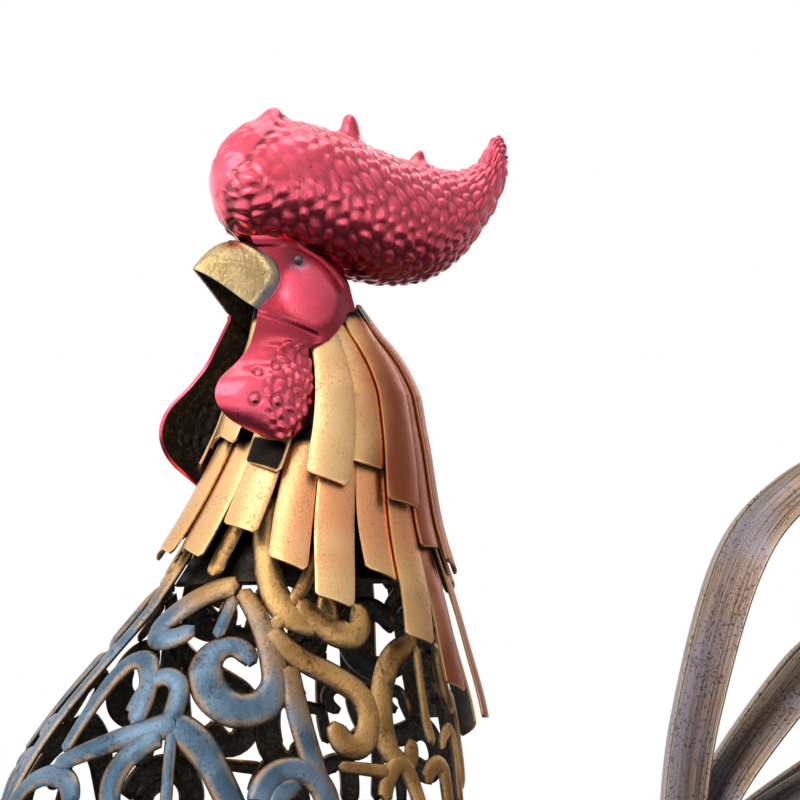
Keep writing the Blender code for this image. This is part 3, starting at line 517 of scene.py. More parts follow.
def tail_metal():
    """Bronze with long drawn streaks, bluish clouds painted as a sheen, and a painted highlight along
    the edges.
    """
    bronze = Finish("tail_metal", 1.0, 0.36)
    streak = bronze.noise(bronze.stretch(bronze.uv, (26, 4.0, 1)), 1.0, 6, 0.7)
    cloud = bronze.noise(bronze.place, 26, 3)
    bronze.ground(bronze.fade(streak, 0.41, 0.59), (0.085, 0.056, 0.042), (0.36, 0.245, 0.165))
    # Painted sheen: bluish clouds.
    bronze.lay(bronze.fade(cloud, 0.42, 0.66), 0.60, (0.25, 0.255, 0.32))
    # Painted highlight along the edges and the tip.
    bronze.lay(bronze.edge(0.07, 0.006), 0.8, (0.62, 0.48, 0.36))
    bronze.lay(bronze.dirt(800, 0.30, 60, 0.42)[0], 0.7, (0.03, 0.02, 0.015))
    bronze.rough(0.28, streak, 0.22)
    return bronze.done(streak, 0.00012)


def cast_metal(name, light, dark, scale, roughness, depth):
    """Rubbed metal of the legs and the base: light on the high places, dark in the pits."""
    metal = Finish(name, 1.0, roughness)
    metal.ground(metal.fade(metal.noise(metal.place, scale, 5, 0.6), 0.35, 0.68), light, dark)
    specks, smears = metal.dirt(700, 0.32, 80, 0.46)
    metal.lay(smears, 0.6, (0.04, 0.03, 0.02))
    metal.lay(specks, 0.7, (0.02, 0.014, 0.01))
    return metal.done(metal.grain(600, 110, 3.0), depth)


def eye_bead():
    """The dark glassy bead of the eye."""
    bead = Finish("eye_bead", 0.0, 0.08, 1.0, 0.03)
    bead.ground(bead.noise(bead.place, 900, 2), (0.012, 0.012, 0.016), (0.05, 0.05, 0.07))
    return bead.done()


COMB_RED = candy_red("comb_red", 0.88, 0.0)
FACE_RED = candy_red("face_red", 0.65, 0.85)
BLACK = soot_black()
LOWER_GOLD = hackle_metal("hackle_gold", False)
UPPER_GOLD = hackle_metal("hackle_copper", True)
SCROLL = scroll_metal()
BEAK = beak_metal()
TAIL = tail_metal()
LEG = cast_metal("leg_gold", (0.66, 0.42, 0.17), (0.40, 0.23, 0.09), 90, 0.38, 0.0002)
PLATE = cast_metal("base_bronze", (0.20, 0.14, 0.09), (0.09, 0.065, 0.045), 60, 0.42, 0.0003)
SLEEVE = cast_metal("sleeve_black", (0.05, 0.04, 0.03), (0.012, 0.010, 0.008), 70, 0.5, 0.0002)
EYE_BEAD = eye_bead()


# Shaping

def curve_through(xs, ys, x):
    """A smooth curve through listed points, read at x."""
    slopes = np.gradient(ys, xs)
    index = np.clip(np.searchsorted(xs, x) - 1, 0, len(xs) - 2)
    step = xs[index + 1] - xs[index]
    t = (x - xs[index]) / step
    return ((2 * t ** 3 - 3 * t ** 2 + 1) * ys[index] + (t ** 3 - 2 * t ** 2 + t) * step * slopes[index]
            + (3 * t ** 2 - 2 * t ** 3) * ys[index + 1] + (t ** 3 - t ** 2) * step * slopes[index + 1])


def row_at(table, x):
    """The columns of a table, read smoothly where its first column is x."""
    return [curve_through(table[:, 0], column, x) for column in table[:, 1:].T]


def hump(value, middle, width):
    """1 at the middle, falling to 0 a little past a width."""
    return np.exp(-((value - middle) / width) ** 2)


def soft_step(value, low, high):
    """0 below low and 1 above high, with a soft step between."""
    t = np.clip((value - low) / (high - low), 0, 1)
    return t * t * (3 - 2 * t)


def section_at(place):
    """The body's sections between the listed ones."""
    place = np.clip(np.asarray(place, float), 0, LAST)
    index = np.minimum(place.astype(int), LAST - 1)
    x = (place - index)[..., None]
    before = SECTIONS[np.maximum(index - 1, 0)]
    start, end = SECTIONS[index], SECTIONS[index + 1]
    after = SECTIONS[np.minimum(index + 2, LAST)]
    return 0.5 * (2 * start + (end - before) * x
                  + (2 * before - 5 * start + 4 * end - after) * x ** 2
                  + (3 * start - before - 3 * end + after) * x ** 3)


def skin(place, angle):
    """Points of the body's surface: angle 0 is the breast line, pi the back, pi/2 at +X."""
    part = section_at(place)
    reach = np.cos(angle)
    return np.stack([part[..., 4] * np.sin(angle),
                     (part[..., 0] + part[..., 2]) / 2 + (part[..., 0] - part[..., 2]) / 2 * reach,
                     (part[..., 1] + part[..., 3]) / 2 + (part[..., 1] - part[..., 3]) / 2 * reach], -1)


def unit(vectors):
    """The vectors at length one."""
    return vectors / np.linalg.norm(vectors, axis=-1, keepdims=True)


def skin_frame(place, angle):
    """Tangents along the body and around it, and the outward normal."""
    step = 0.001
    along = (skin(place + step, angle) - skin(place - step, angle)) / (2 * step)
    around = (skin(place, angle + step) - skin(place, angle - step)) / (2 * step)
    normal = unit(np.cross(around, along))
    part = section_at(place)
    middle = np.stack([0 * part[..., 0], (part[..., 0] + part[..., 2]) / 2,
                       (part[..., 1] + part[..., 3]) / 2], -1)
    inward = ((skin(place, angle) - middle) * normal).sum(-1, keepdims=True) < 0
    return along, around, np.where(inward, -normal, normal)


LEVELS = np.linspace(0, 8, 4001)
LEVEL_HEIGHTS = skin(LEVELS, np.full(LEVELS.shape, math.pi / 2))[:, 2]


def place_at_height(height):
    """Where the neck's sections reach a height."""
    return np.interp(-np.asarray(height), -LEVEL_HEIGHTS, LEVELS)


def lay_grid(work, columns, rows, shape, side=1, marks=()):
    """Lays a grid on a surface: shape(u, v) gives the points, faces outward at the left side."""
    uv = work.loops.layers.uv.verify()
    layers = [work.verts.layers.float.get(name) or work.verts.layers.float.new(name)
              for name, values in marks]
    made = bmesh.ops.create_grid(work, x_segments=columns, y_segments=rows, size=0.5)["verts"]
    flat = np.array([vert.co for vert in made])
    flat = (flat - flat.min(0))[:, :2] / (flat.max(0) - flat.min(0))[:2]
    spots = shape(flat[:, 0], flat[:, 1])
    faces = list({face for vert in made for face in vert.link_faces})
    for vert, (u, v) in zip(made, flat):
        for loop in vert.link_loops:
            loop[uv].uv = (u, v)
    for layer, (name, values) in zip(layers, marks):
        for vert, value in zip(made, values(flat[:, 0], flat[:, 1])):
            vert[layer] = value
    for vert, spot in zip(made, spots):
        vert.co = (spot[0] * side, spot[1], spot[2])
    if side == -1:
        bmesh.ops.reverse_faces(work, faces=faces)


def raised(base, height, closed=False):
    """A surface with relief: height(u, v) is measured along its outward normal."""
    margin = 0.0005 if closed else 0

    def shape(u, v):
        step = 0.001
        low_v, high_v = np.clip(v - step, margin, 1), np.clip(v + step, 0, 1 - margin)
        low_u, high_u = u - step, u + step
        if not closed:
            low_u, high_u = np.clip(low_u, 0, 1), np.clip(high_u, 0, 1)
        normal = np.cross(base(high_u, v) - base(low_u, v), base(u, high_v) - base(u, low_v))
        normal /= np.maximum(np.linalg.norm(normal, axis=-1, keepdims=True), 1e-12)
        return base(u, v) + normal * height(u, v)[:, None]

    return shape


def soften(work, edges, width, segments):
    """Rounds edges off."""
    bmesh.ops.bevel(work, geom=edges, offset=width, segments=segments, affect="EDGES", profile=0.5,
                    material=-1)


def weld(work, gap=0.01 * MM):
    """Joins the points that lie on each other."""
    bmesh.ops.remove_doubles(work, verts=work.verts, dist=gap)


def new_object(name, data):
    """An object in the scene."""
    item = bpy.data.objects.new(name, data)
    bpy.context.scene.collection.objects.link(item)
    return item


def finish_piece(name, work, finishes, nodes=(), sheet=0.0, rim=0.0, sharp=38):
    """Makes the piece: sheet thickness inward, softened edges and finishes; hangs it from the root body
    and hides the parts that it stands for.
    """
    mesh = bpy.data.meshes.new(name)
    work.to_mesh(mesh)
    work.free()
    for material in finishes:
        mesh.materials.append(material)
    piece = new_object(name, mesh)
    if sheet:
        wall = piece.modifiers.new("Sheet", "SOLIDIFY")
        wall.thickness = sheet
        wall.offset = -1
        wall.material_offset = 1
    if rim:
        edge = piece.modifiers.new("Edge", "BEVEL")
        edge.width = rim
        edge.segments = 2
        edge.limit_method = "ANGLE"
        edge.angle_limit = math.radians(55)
    if sheet or rim:
        graph = bpy.context.evaluated_depsgraph_get()
        solid = bpy.data.meshes.new_from_object(piece.evaluated_get(graph), depsgraph=graph)
        piece.modifiers.clear()
        piece.data = solid
        solid.name = name
    piece.data.polygons.foreach_set("use_smooth", [True] * len(piece.data.polygons))
    piece.data.set_sharp_from_angle(angle=math.radians(sharp))
    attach(piece, "root")
    if nodes:
        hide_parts(*nodes)


# Scrollwork

def walk(start, heading, bends, widths):
    """Follows a scroll over the surface: points, normals, directions, widths and places."""
    place, angle = start[0], math.radians(start[1])
    along, around, normal = skin_frame(place, angle)
    down = unit(along)
    across = np.cross(normal, down)
    turn = math.radians(heading)
    direction = math.cos(turn) * down + math.sin(turn) * across
    points, normals, directions, spans = [skin(place, angle)], [normal], [direction], [widths[0]]
    spots = [(place, angle)]
    for number, (length, bend) in enumerate(bends):
        parts = max(1, math.ceil(abs(bend) / 60), math.ceil(length / 26))
        steps = parts * max(2, math.ceil(length / parts / 1.5))
        for step in range(1, steps + 1):
            tangents = np.stack([along, around], 1)
            move = np.linalg.lstsq(tangents, direction * length * MM / steps, rcond=None)[0]
            place += move[0]
            angle += move[1]
            along, around, normal = skin_frame(place, angle)
            direction = unit(direction - (direction @ normal) * normal)
            swing = math.radians(bend) / steps
            direction = math.cos(swing) * direction + math.sin(swing) * np.cross(normal, direction)
            share = step / steps
            points.append(skin(place, angle))
            spots.append((place, angle))
            normals.append(normal)
            directions.append(direction)
            spans.append(widths[number] * (1 - share) + widths[number + 1] * share)
    return (np.array(points), np.array(normals), np.array(directions), np.array(spans) * MM,
            np.array(spots).T)


def along_skin(places, angles, width, closed=False):
    """The same for a line of places on the surface."""
    points = skin(places, angles)
    normals = skin_frame(places, angles)[2]
    if closed:
        directions = np.roll(points, -1, 0) - np.roll(points, 1, 0)
        directions[0] = directions[-1] = points[1] - points[-2]
    else:
        directions = np.gradient(points, axis=0)
    directions = unit(directions - (directions * normals).sum(-1, keepdims=True) * normals)
    return points, normals, directions, np.full(len(points), width * MM)


def lay_band(work, line, sink, blunt=(0, 0), side=1):
    """A puffed band with thin edges along a line on the surface, both ends rounded by a share."""
    points, normals, directions, widths = line
    sides = np.cross(directions, normals)
    run = np.concatenate([[0], np.cumsum(np.linalg.norm(np.diff(points, axis=0), axis=1))])
    round_off = np.ones(len(points))
    for share, gone in zip(blunt, (run, run[-1] - run)):
        if share:
            x = np.clip(gone / (widths * share), 0, 1)
            round_off *= np.sqrt(np.maximum(1 - (1 - x) ** 2, 0.02))
    rows = len(points) - 1

    def shape(u, v):
        row = np.round(v * rows).astype(int)
        x = 2 * u - 1
        width = widths[row] * round_off[row]
        rise = np.minimum(0.21 * widths[row], 2.0 * MM)
        drop = sink + rise * np.abs(x) ** 3.0 + rise * (1 - round_off[row]) * 0.7
        return points[row] + sides[row] * (x * width / 2)[:, None] - normals[row] * drop[:, None]

    lay_grid(work, BAND_COLUMNS, rows, shape, side)


def rib_places(rib, count):
    """Sections and degrees along a rib."""
    (first, low), (last, high), wave = rib[:3]
    share = np.linspace(0, 1, count)
    return (first + (last - first) * share,
            low + (high - low) * share + wave * np.sin(2 * math.pi * share))


def frame_spots():
    """Places and angles along the scrolls, ribs, hoops and keels of one side, with half widths."""
    spots = []
    for start, heading, bends, widths in SCROLLS.values():
        places, angles = walk(start, heading, bends, widths)[4]
        spots += list(zip(places, angles, np.full(len(places), 0.5 * max(widths) * BAND_WIDER)))[::2]
    for rib in RIBS.values():
        places, degrees = rib_places(rib, 50)
        spots += list(zip(places, np.radians(degrees), np.full(50, 0.5 * rib[3])))
    for angle in (0.0, math.pi):
        spots += [(place, angle, KEEL_HALF) for place in np.linspace(NECK_RING, TAIL_RING, 110)]
    for place in (NECK_RING, HIP_HOOP, TAIL_RING):
        spots += [(place, angle, KEEL_HALF) for angle in np.linspace(0, math.pi, 60)]
    return np.array(spots)


def infill(low_gap, allowed):
    """Small curls for the widest holes of one side, each grown from the nearest band."""
    spots = frame_spots()
    points = skin(spots[:, 0], spots[:, 1]) / MM
    places, angles = np.meshgrid(np.linspace(NECK_RING + 0.2, TAIL_RING - 0.1, 120),
                                 np.linspace(0.02, math.pi - 0.02, 90), indexing="ij")
    places, angles = places.ravel(), angles.ravel()
    keep = allowed(places, np.degrees(angles))
    places, angles = places[keep], angles[keep]
    holes = skin(places, angles) / MM
    free = np.full(len(holes), 1e9)
    nearest = np.zeros(len(holes), int)
    curls = []
    done = 0
    for number in range(MOST_CURLS):
        for index in range(done, len(points)):
            gap = np.linalg.norm(holes - points[index], axis=1) - spots[index, 2]
            closer = gap < free
            free[closer], nearest[closer] = gap[closer], index
        done = len(points)
        pick = int(np.argmax(free))
        size = free[pick]
        if size < low_gap:
            break
        root = spots[nearest[pick]]
        along, _, normal = skin_frame(root[0], root[1])
        down = unit(along)
        way = skin(places[pick], angles[pick]) - skin(root[0], root[1])
        heading = math.degrees(math.atan2(way @ np.cross(normal, down), way @ down))
        hand = 1 if number % 2 else -1
        reach = np.linalg.norm(way) / MM
        bends = ((reach * 0.95, -25 * hand), (size * 1.15, 115 * hand), (size * 0.95, 120 * hand),
                 (size * 0.45, 60 * hand))
        wide = min(9.0, max(5.0, size * 0.62))
        curl = ((root[0], math.degrees(root[1])), heading + 14 * hand, bends,
                (wide * 0.75, wide, wide, wide * 0.9, wide * 0.7))
        curls.append(curl)
        grown = walk(*curl)[4]
        extra = np.array([(place, angle, wide / 2) for place, angle in zip(*grown)])
        spots = np.concatenate([spots, extra])
        points = np.concatenate([points, skin(extra[:, 0], extra[:, 1]) / MM])
    return curls


def finish_bands(name, work):
    """The bands as a piece of sheet, black inside."""
    finish_piece(name, work, (SCROLL, BLACK), ("scrollwork_body",), BAND_SHEET, RIM)


def make_scrollwork():
    """Scrolls of both sides, and the frame of ribs, hoops and keels that holds them."""
    left = infill(HOLE_LEFT, lambda place, degrees: (place > 8.0) | (degrees > 158))
    right = infill(HOLE_RIGHT, lambda place, degrees: place > 2)
    for side, word, curls in ((1, "left", left), (-1, "right", right)):
        work = bmesh.new()
        for number, (start, heading, bends, widths) in enumerate(SCROLLS.values()):
            if max(widths) > THIN_SCROLL:
                widths = [max(width * BAND_WIDER, LEAST_WIDTH if order else 0)
                          for order, width in enumerate(widths)]
            line = walk(start, heading, bends, widths)[:4]
            lay_band(work, line, (0.6 + 0.28 * (number % 4)) * MM, (0.18, 0.5), side)
        for number, curl in enumerate(curls):
            lay_band(work, walk(*curl)[:4], (1.9 + 0.3 * (number % 3)) * MM, (0, 0.5), side)
        finish_bands(f"scrolls_{word}", work)
    work = bmesh.new()
    for number, rib in enumerate(RIBS.values()):
        places, degrees = rib_places(rib, 90)
        line = along_skin(places, np.radians(degrees), rib[3])
        for side in (1, -1):
            lay_band(work, line, (1.7 + 0.2 * (number % 3)) * MM, side=side)
    for degrees, width in ((0, 7), (180, 9)):
        places = np.linspace(NECK_RING, TAIL_RING, 150)
        lay_band(work, along_skin(places, np.full(150, math.radians(degrees)), width), 1.3 * MM)
    for place, width in ((NECK_RING, 6), (HIP_HOOP, 9), (TAIL_RING, 9)):
        turns = np.linspace(0, 2 * math.pi, 121)
        lay_band(work, along_skin(np.full(121, place), turns, width, closed=True), 1.5 * MM)
    weld(work)
    finish_bands("scrollwork_ribs", work)


def make_tail_bar_and_hip_pads():
    """The bar that holds the tail, and the pads that the thighs hang from."""
    work = bmesh.new()
    bar = Matrix.Translation((0, *TAIL_BAR)) @ Matrix.Rotation(math.pi / 2, 4, "Y")
    bmesh.ops.create_cone(work, cap_ends=True, segments=32, radius1=TAIL_BAR_RADIUS,
                          radius2=TAIL_BAR_RADIUS, depth=2 * TAIL_BAR_HALF, matrix=bar)
    drop = (KNEE - HIP).normalized()
    for side in (1, -1):
        axis = Vector((drop.x * side, drop.y, drop.z))
        middle = Vector((HIP.x * side, HIP.y, HIP.z)) - axis * 4 * MM
        turn = axis.to_track_quat("Z", "Y").to_matrix().to_4x4()
        bmesh.ops.create_cone(work, cap_ends=True, segments=40, radius1=14 * MM, radius2=14 * MM,
                              depth=8 * MM, matrix=Matrix.Translation(middle) @ turn)
    caps = [edge for edge in work.edges if len(edge.link_faces) == 2
            and edge.calc_face_angle() > 1.0]
    soften(work, caps, 1.6 * MM, 4)
    finish_piece("tail_bar_and_hip_pads", work, (SCROLL,), ("scrollwork_body",))


# Hackle

def strip_lift(height, layer, upper):
    """How far the inside of a strip stands off the neck at a height."""
    step = SHEET + LAP
    lift = LAP + layer * step + np.maximum(LOWER_ROOT - height, 0) * FEATHER_SPRING
    if upper:
        lift = lift + 2 * step * np.clip((UPPER_ROOT - height) / (20 * MM), 0, 1)
    return lift


def make_strip(node, degrees, root, tip, layer, upper, side, number):
    """One hackle strip: cambered, a little wider toward its slanted tip."""
    slant = STRIP_SLANTS[number % len(STRIP_SLANTS)] * MM
    lead = degrees + 4 * math.sin(math.radians(degrees))
    splay = 0 if upper else SPLAY * soft_step(degrees, 35, 57) * (1 - soft_step(degrees, 98, 115))
    tip -= WATTLE_TIP_DROP if degrees in WATTLE_STRIPS else TIP_DROP
    if upper:
        root += UPPER_TUCK
    length = root - tip
    rows = max(24, int(length / (1.1 * MM)))

    def shape(u, v):
        x = 1 - 2 * u
        end = tip - slant * x + 0.5 * MM
        height = root + (end - root) * v
        share = (root - height) / length
        if upper:
            tucked = soft_step(share * length, -2 * MM, UPPER_TUCK)
            width = (5.6 + 3.6 * tucked) * MM + 3.4 * MM * np.clip(share * 1.6 - 0.3, 0, 1)
        else:
            width = 10.6 * MM + 1.8 * MM * np.minimum(1, np.maximum(share, 0) * 1.6)
        left = (1 - v) * length
        corner = np.clip(left / (1.8 * MM), 0, 1)
        width = width * (0.80 + 0.20 * np.sqrt(1 - (1 - corner) ** 2))
        place = place_at_height(height)
        angle = np.radians(lead + splay * np.clip(share, 0, 1) ** 1.5)
        around = np.linalg.norm(skin_frame(place, angle)[1], axis=-1)
        angle = angle + x * width / 2 / around
        camber = CAMBER * (1 - x ** 2) * soft_step(share, 0.0, 0.2)
        lift = strip_lift(height, layer, upper) + SHEET + camber
        return skin(place, angle) + lift[:, None] * skin_frame(place, angle)[2]

    # How dark the strip is made, from 0 to 1: a sooty patina with painted shade.
    def soot_and_shade(u, v):
        x = np.abs(1 - 2 * u)
        # Sooty patina and painted shade at the root, where the strip runs under the strips above.
        root_dark = 1 - soft_step(v * length, 2 * MM, (9 if upper else 12) * MM)
        # Sooty patina and painted shade along the long edges, in the gaps between strips.
        seam = 0.40 * soft_step(x, 0.72, 0.97) * (1 - soft_step(v, 0.75, 0.95))
        # Painted shadow on the tips of the strips behind the wattle.
        painted_wattle_shadow = 0
        if upper and degrees in WATTLE_STRIPS:
            painted_wattle_shadow = soft_step(v * length, length - 11 * MM, length - 8 * MM)
            painted_wattle_shadow = painted_wattle_shadow * (1 - soft_step(x, 0.86, 0.9))
        return np.clip(root_dark + seam + painted_wattle_shadow, 0, 1)

    work = bmesh.new()
    lay_grid(work, 10, rows, shape, side, (("soot_and_shade", soot_and_shade),))
    finish_piece(node + "_leaf", work, (UPPER_GOLD if upper else LOWER_GOLD, BLACK),
                 (node,), sheet=SHEET, rim=0.22 * MM)


def make_hackle():
    """Both tiers of strips on both sides."""
    for number, (degrees, tip, layer) in enumerate(LOWER_STRIPS, 1):
        sides = ((1, "left"), (-1, "right")) if degrees not in (0, 180) else ((1, "middle"),)
        for side, word in sides:
            node = f"lower_hackle_{word}_{number:02d}"
            make_strip(node, degrees, LOWER_ROOT, tip * MM, layer, False, side, number)
    for number, (degrees, tip, layer) in enumerate(UPPER_STRIPS, 1):
        for side, word in ((1, "left"), (-1, "right")):
            node = f"upper_hackle_{word}_{number:02d}"
            order = layer if side == 1 else 1 - layer
            make_strip(node, degrees, UPPER_ROOT, tip * MM, order, True, side, number + 3)


def make_sleeve():
    """The rolled sleeve inside the hackle."""
    work = bmesh.new()

    def shape(u, v):
        place, angle = 0.12 + 3.5 * (1 - v), 2 * math.pi * u
        inset = 6.5 * MM * soft_step(place, 2.3, 2.85)
        return skin(place, angle) - inset[:, None] * skin_frame(place, angle)[2]

    lay_grid(work, 72, 54, shape)
    weld(work)
    finish_piece("neck_sleeve_roll", work, (SLEEVE, BLACK), ("neck_sleeve",), SHEET, RIM)


# Head

def hex_pebbles(s, t, pitch):
    """Rounded pebbles in a loose hexagonal order, from -0.5 between them to 1 on top."""
    s = s + 0.90 * np.sin(0.37 * t + 0.9) + 0.50 * np.sin(0.83 * s - 0.41 * t)
    t = t + 0.85 * np.sin(0.31 * s + 2.1) + 0.50 * np.sin(0.71 * t + 0.53 * s)
    k = 2 * math.pi / pitch
    return (np.cos(k * s) + np.cos(k * (-s / 2 + 0.866 * t)) + np.cos(k * (-s / 2 - 0.866 * t))) / 3


def make_comb():
    """The blown comb with hammered pebbles, a plain front facet and three small knobs."""
    front, rear = COMB_PROFILE[0, 0], COMB_PROFILE[-1, 0]

    def station(v):
        ease = 0.45 * v + 0.55 * (0.5 - 0.5 * np.cos(math.pi * v))
        return front + (rear - front) * ease

    def base(u, v):
        y = station(v)
        top, low, half = row_at(COMB_PROFILE, y)
        turn = 2 * math.pi * u
        pinch = 0.16 + 0.34 * (1 - soft_step(y, -34, -14))
        x = np.maximum(half, 0) * np.sin(turn) * (1 - pinch * np.maximum(np.cos(turn), 0))
        z = (top + low) / 2 + (top - low) / 2 * np.cos(turn)
        for knob_y, height, spread in COMB_KNOBS:
            near = ((x / spread) ** 2 + ((y - knob_y) / spread) ** 2)
            z = z + height * np.exp(-near ** 1.25) * (np.cos(turn) > 0)
        return np.stack([x, y, z], -1) * MM

    def pebble(u, v):
        y = station(v) + 45
        around = (u - np.round(u)) * 118
        return hex_pebbles(y * (0.80 + 0.0019 * y), around * (0.84 + 0.0019 * y), 4.2)

    def crease_at(z):
        return np.interp(z, (412, 416, 427, 435, 438, 446, 454, 458),
                         (-34, -36.5, -39.7, -38.0, -34.5, -27, -19, -14))

    def strength(u, v):
        y, z = base(u, v)[:, 1:].T / MM
        facet = soft_step(y, crease_at(z) - 0.8, crease_at(z) + 1.5)
        calm = np.exp(-(((y + 18) / 13) ** 2 + ((z - 437.5) / 8.5) ** 2) ** 1.5)
        ends = soft_step(v, 0.015, 0.05) * (1 - soft_step(v, 0.985, 1.0))
        return (0.30 + 0.70 * facet) * (1 - 0.72 * calm) * ends

    def height(u, v):
        y, z = base(u, v)[:, 1:].T / MM
        groove = hump(y, crease_at(z), 1.1) * (0.7 + 0.3 * np.sin(z * 1.9))
        return (0.50 * pebble(u, v) * strength(u, v) - 0.42 * groove) * MM

    def relief(u, v):
        y, z = base(u, v)[:, 1:].T / MM
        return 1.3 * pebble(u, v) * strength(u, v) - hump(y, crease_at(z), 1.1)

    work = bmesh.new()
    lay_grid(work, 190, 176, raised(base, height, closed=True), marks=(("relief", relief),))
    weld(work, 0.02 * MM)
    under = [face for face in work.faces if face.normal.z < -0.3
             and abs(face.calc_center_median().x) < 9 * MM
             and -30 * MM < face.calc_center_median().y < -6 * MM]
    bmesh.ops.delete(work, geom=under, context="FACES")
    finish_piece("comb_shell", work, (COMB_RED, BLACK), ("comb",), HEAD_SHEET, sharp=70)


def make_faces():
    """Cheek and wattle of each side, pressed from one sheet, with the eye."""
    low, high = FACE_ROWS[0, 0], FACE_ROWS[-1, 0]

    def base(u, v):
        z = low + (high - low) * v
        front, rear, x_front, x_middle, x_rear = row_at(FACE_ROWS, z)
        edge = x_front + (x_rear - x_front) * u
        x = edge + (x_middle - (x_front + x_rear) / 2) * np.sin(math.pi * u)
        return np.stack([x, front + (rear - front) * u, z], -1) * MM

    def hanging(u, v):
        points = base(u, v)
        top, share = WATTLE_DROP[0] * MM, WATTLE_DROP[1]
        drop = np.maximum(top - points[:, 2], 0) * share
        points += np.stack([drop * WATTLE_FLARE[0], -drop * WATTLE_FLARE[1], -drop], -1)
        return points

    def parts(u, v):
        y, z = base(u, v)[:, 1:].T / MM
        below_crease = 388.5 - 0.42 * (y + 32.4) - z
        cheek = np.exp(-(((y + 13) / 10) ** 2 + ((z - 393 + 0.25 * (y + 13)) / 11) ** 2) ** 1.5)
        step = soft_step(below_crease, -0.4, 0.7) * (1 - soft_step(y, -15, -12))
        step = step * (1 - soft_step(below_crease, 3, 12))
        lip = soft_step(v, 0.945, 0.958) + soft_step(u, 0.88, 0.93) * soft_step(z, 393, 399)
        wattle = soft_step(372 - z, 0, 8)
        bumpy = soft_step(below_crease, 3, 8) * soft_step(u, 0.34, 0.56)
        bumpy = np.maximum(bumpy, soft_step(354 - z, 0, 4) * soft_step(u, 0.35, 0.7))
        pebbles = hex_pebbles(y * 1.05 + 3, z * 1.0, 3.6) * bumpy
        for ring_y, ring_z, size in WATTLE_RINGS:
            far = np.hypot(y - ring_y, z - ring_z) / size
            inside = 1 - soft_step(far, 1.25, 1.7)
            ring = hump(far, 1, 0.35) - 0.8 * hump(far, 0, 0.5)
            pebbles = pebbles * (1 - inside) - ring * inside
        return (step, np.clip(lip, 0, 1), pebbles), (y, z, below_crease, cheek, wattle)

    def height(u, v):
        (step, lip, pebbles), (y, z, below_crease, cheek, wattle) = parts(u, v)
        socket = hump(y, EYE.y / MM, 3.2) * hump(z, EYE.z / MM, 3.0)
        puff = 1.8 * wattle * np.sin(math.pi * u) ** 0.8
        seam = 0.5 * hump(below_crease, -0.6, 0.7) * soft_step(u, 0.02, 0.1) * (1 - wattle)
        return (2.0 * cheek - 0.7 * step + seam + 0.8 * lip + puff - 0.9 * socket + 0.55 * pebbles) * MM

    def relief(u, v):
        step, lip, pebbles = parts(u, v)[0]
        return 1.3 * pebbles - 0.15 * step * (1 - soft_step(step, 0.2, 0.9)) + 0.8 * lip

    for side, word in ((1, "left"), (-1, "right")):
        work = bmesh.new()
        lay_grid(work, 80, 150, raised(base if side == 1 else hanging, height), side,
                 (("relief", relief),))
        finish_piece(f"cheek_{word}", work, (FACE_RED, BLACK),
                     (f"face_and_wattle_{word}",), HEAD_SHEET, RIM, sharp=60)
        work = bmesh.new()
        bmesh.ops.create_uvsphere(work, u_segments=24, v_segments=16, radius=1.6 * MM,
                                  matrix=Matrix.Translation((EYE.x * side, EYE.y, EYE.z)))
        finish_piece(f"eye_{word}", work, (EYE_BEAD,))


def make_nape():
    """The back of the head: a plain sheet from cheek to cheek, from the hackle up to the comb."""
    low, high = NAPE_ROWS[0, 0], NAPE_ROWS[-1, 0]

    def shape(u, v):
        z = low + (high - low) * v
        turn = math.pi * (u - 0.5)
        back, front, half = row_at(NAPE_ROWS, z)
        x = half * np.sign(np.sin(turn)) * np.abs(np.sin(turn)) ** 0.8
        return np.stack([-x, front + (back - front) * np.cos(turn) ** 0.7, z], -1) * MM

    work = bmesh.new()
    lay_grid(work, 40, 20, shape)
    finish_piece("nape_sheet", work, (FACE_RED, BLACK), sheet=1.0 * MM, rim=0.2 * MM)


def make_beak():
    """The upper beak: an arched shell, open underneath, with a faint side ridge."""
    def base(u, v):
        turn = (u - 0.5) * 2 * 130
        rim_y, rim_z, half = row_at(BEAK_RIM, np.abs(turn))
        half = half * np.sign(turn)
        share = 0.015 + 0.985 * v
        y = BEAK_TIP[0] + (rim_y - BEAK_TIP[0]) * share
        z = BEAK_TIP[1] + (rim_z - BEAK_TIP[1]) * share ** 0.9
        arch = np.sin(math.pi * share) * 2.2
        x = half * share ** 0.75
        z = z + arch * (1 - np.abs(x) / 13.6)
        return np.stack([x, y, z], -1) * MM

    def height(u, v):
        ridge = hump(np.abs(u - 0.5) * 260, 62 + 20 * v, 7) * soft_step(v, 0.15, 0.5)
        return (0.45 * ridge + 0.35 * hump(v, 0.9, 0.05)) * MM

    work = bmesh.new()
    lay_grid(work, 72, 56, raised(base, height))
    finish_piece("beak_shell", work, (BEAK, BLACK), ("beak",), HEAD_SHEET, RIM)


# Tail

def tail_line(start_angle, bends):
    """Corners (Y, Z) and headings along a ribbon, as the CAD has them."""
    heading = math.radians(start_angle)
    reach = TAIL_BAR_RADIUS + TAIL_GAP
    point = TAIL_BAR + np.array((math.cos(heading), math.sin(heading))) * reach
    corners, headings = [point], [heading]
    for length, turn in bends:
        parts = max(1, math.ceil(abs(turn) / 26))
        for _ in range(parts):
            heading += math.radians(turn) / parts / 2
            point = point + np.array((math.cos(heading), math.sin(heading))) * length * MM / parts
            heading += math.radians(turn) / parts / 2
            corners.append(point)
            headings.append(heading)
    return np.array(corners), np.array(headings)


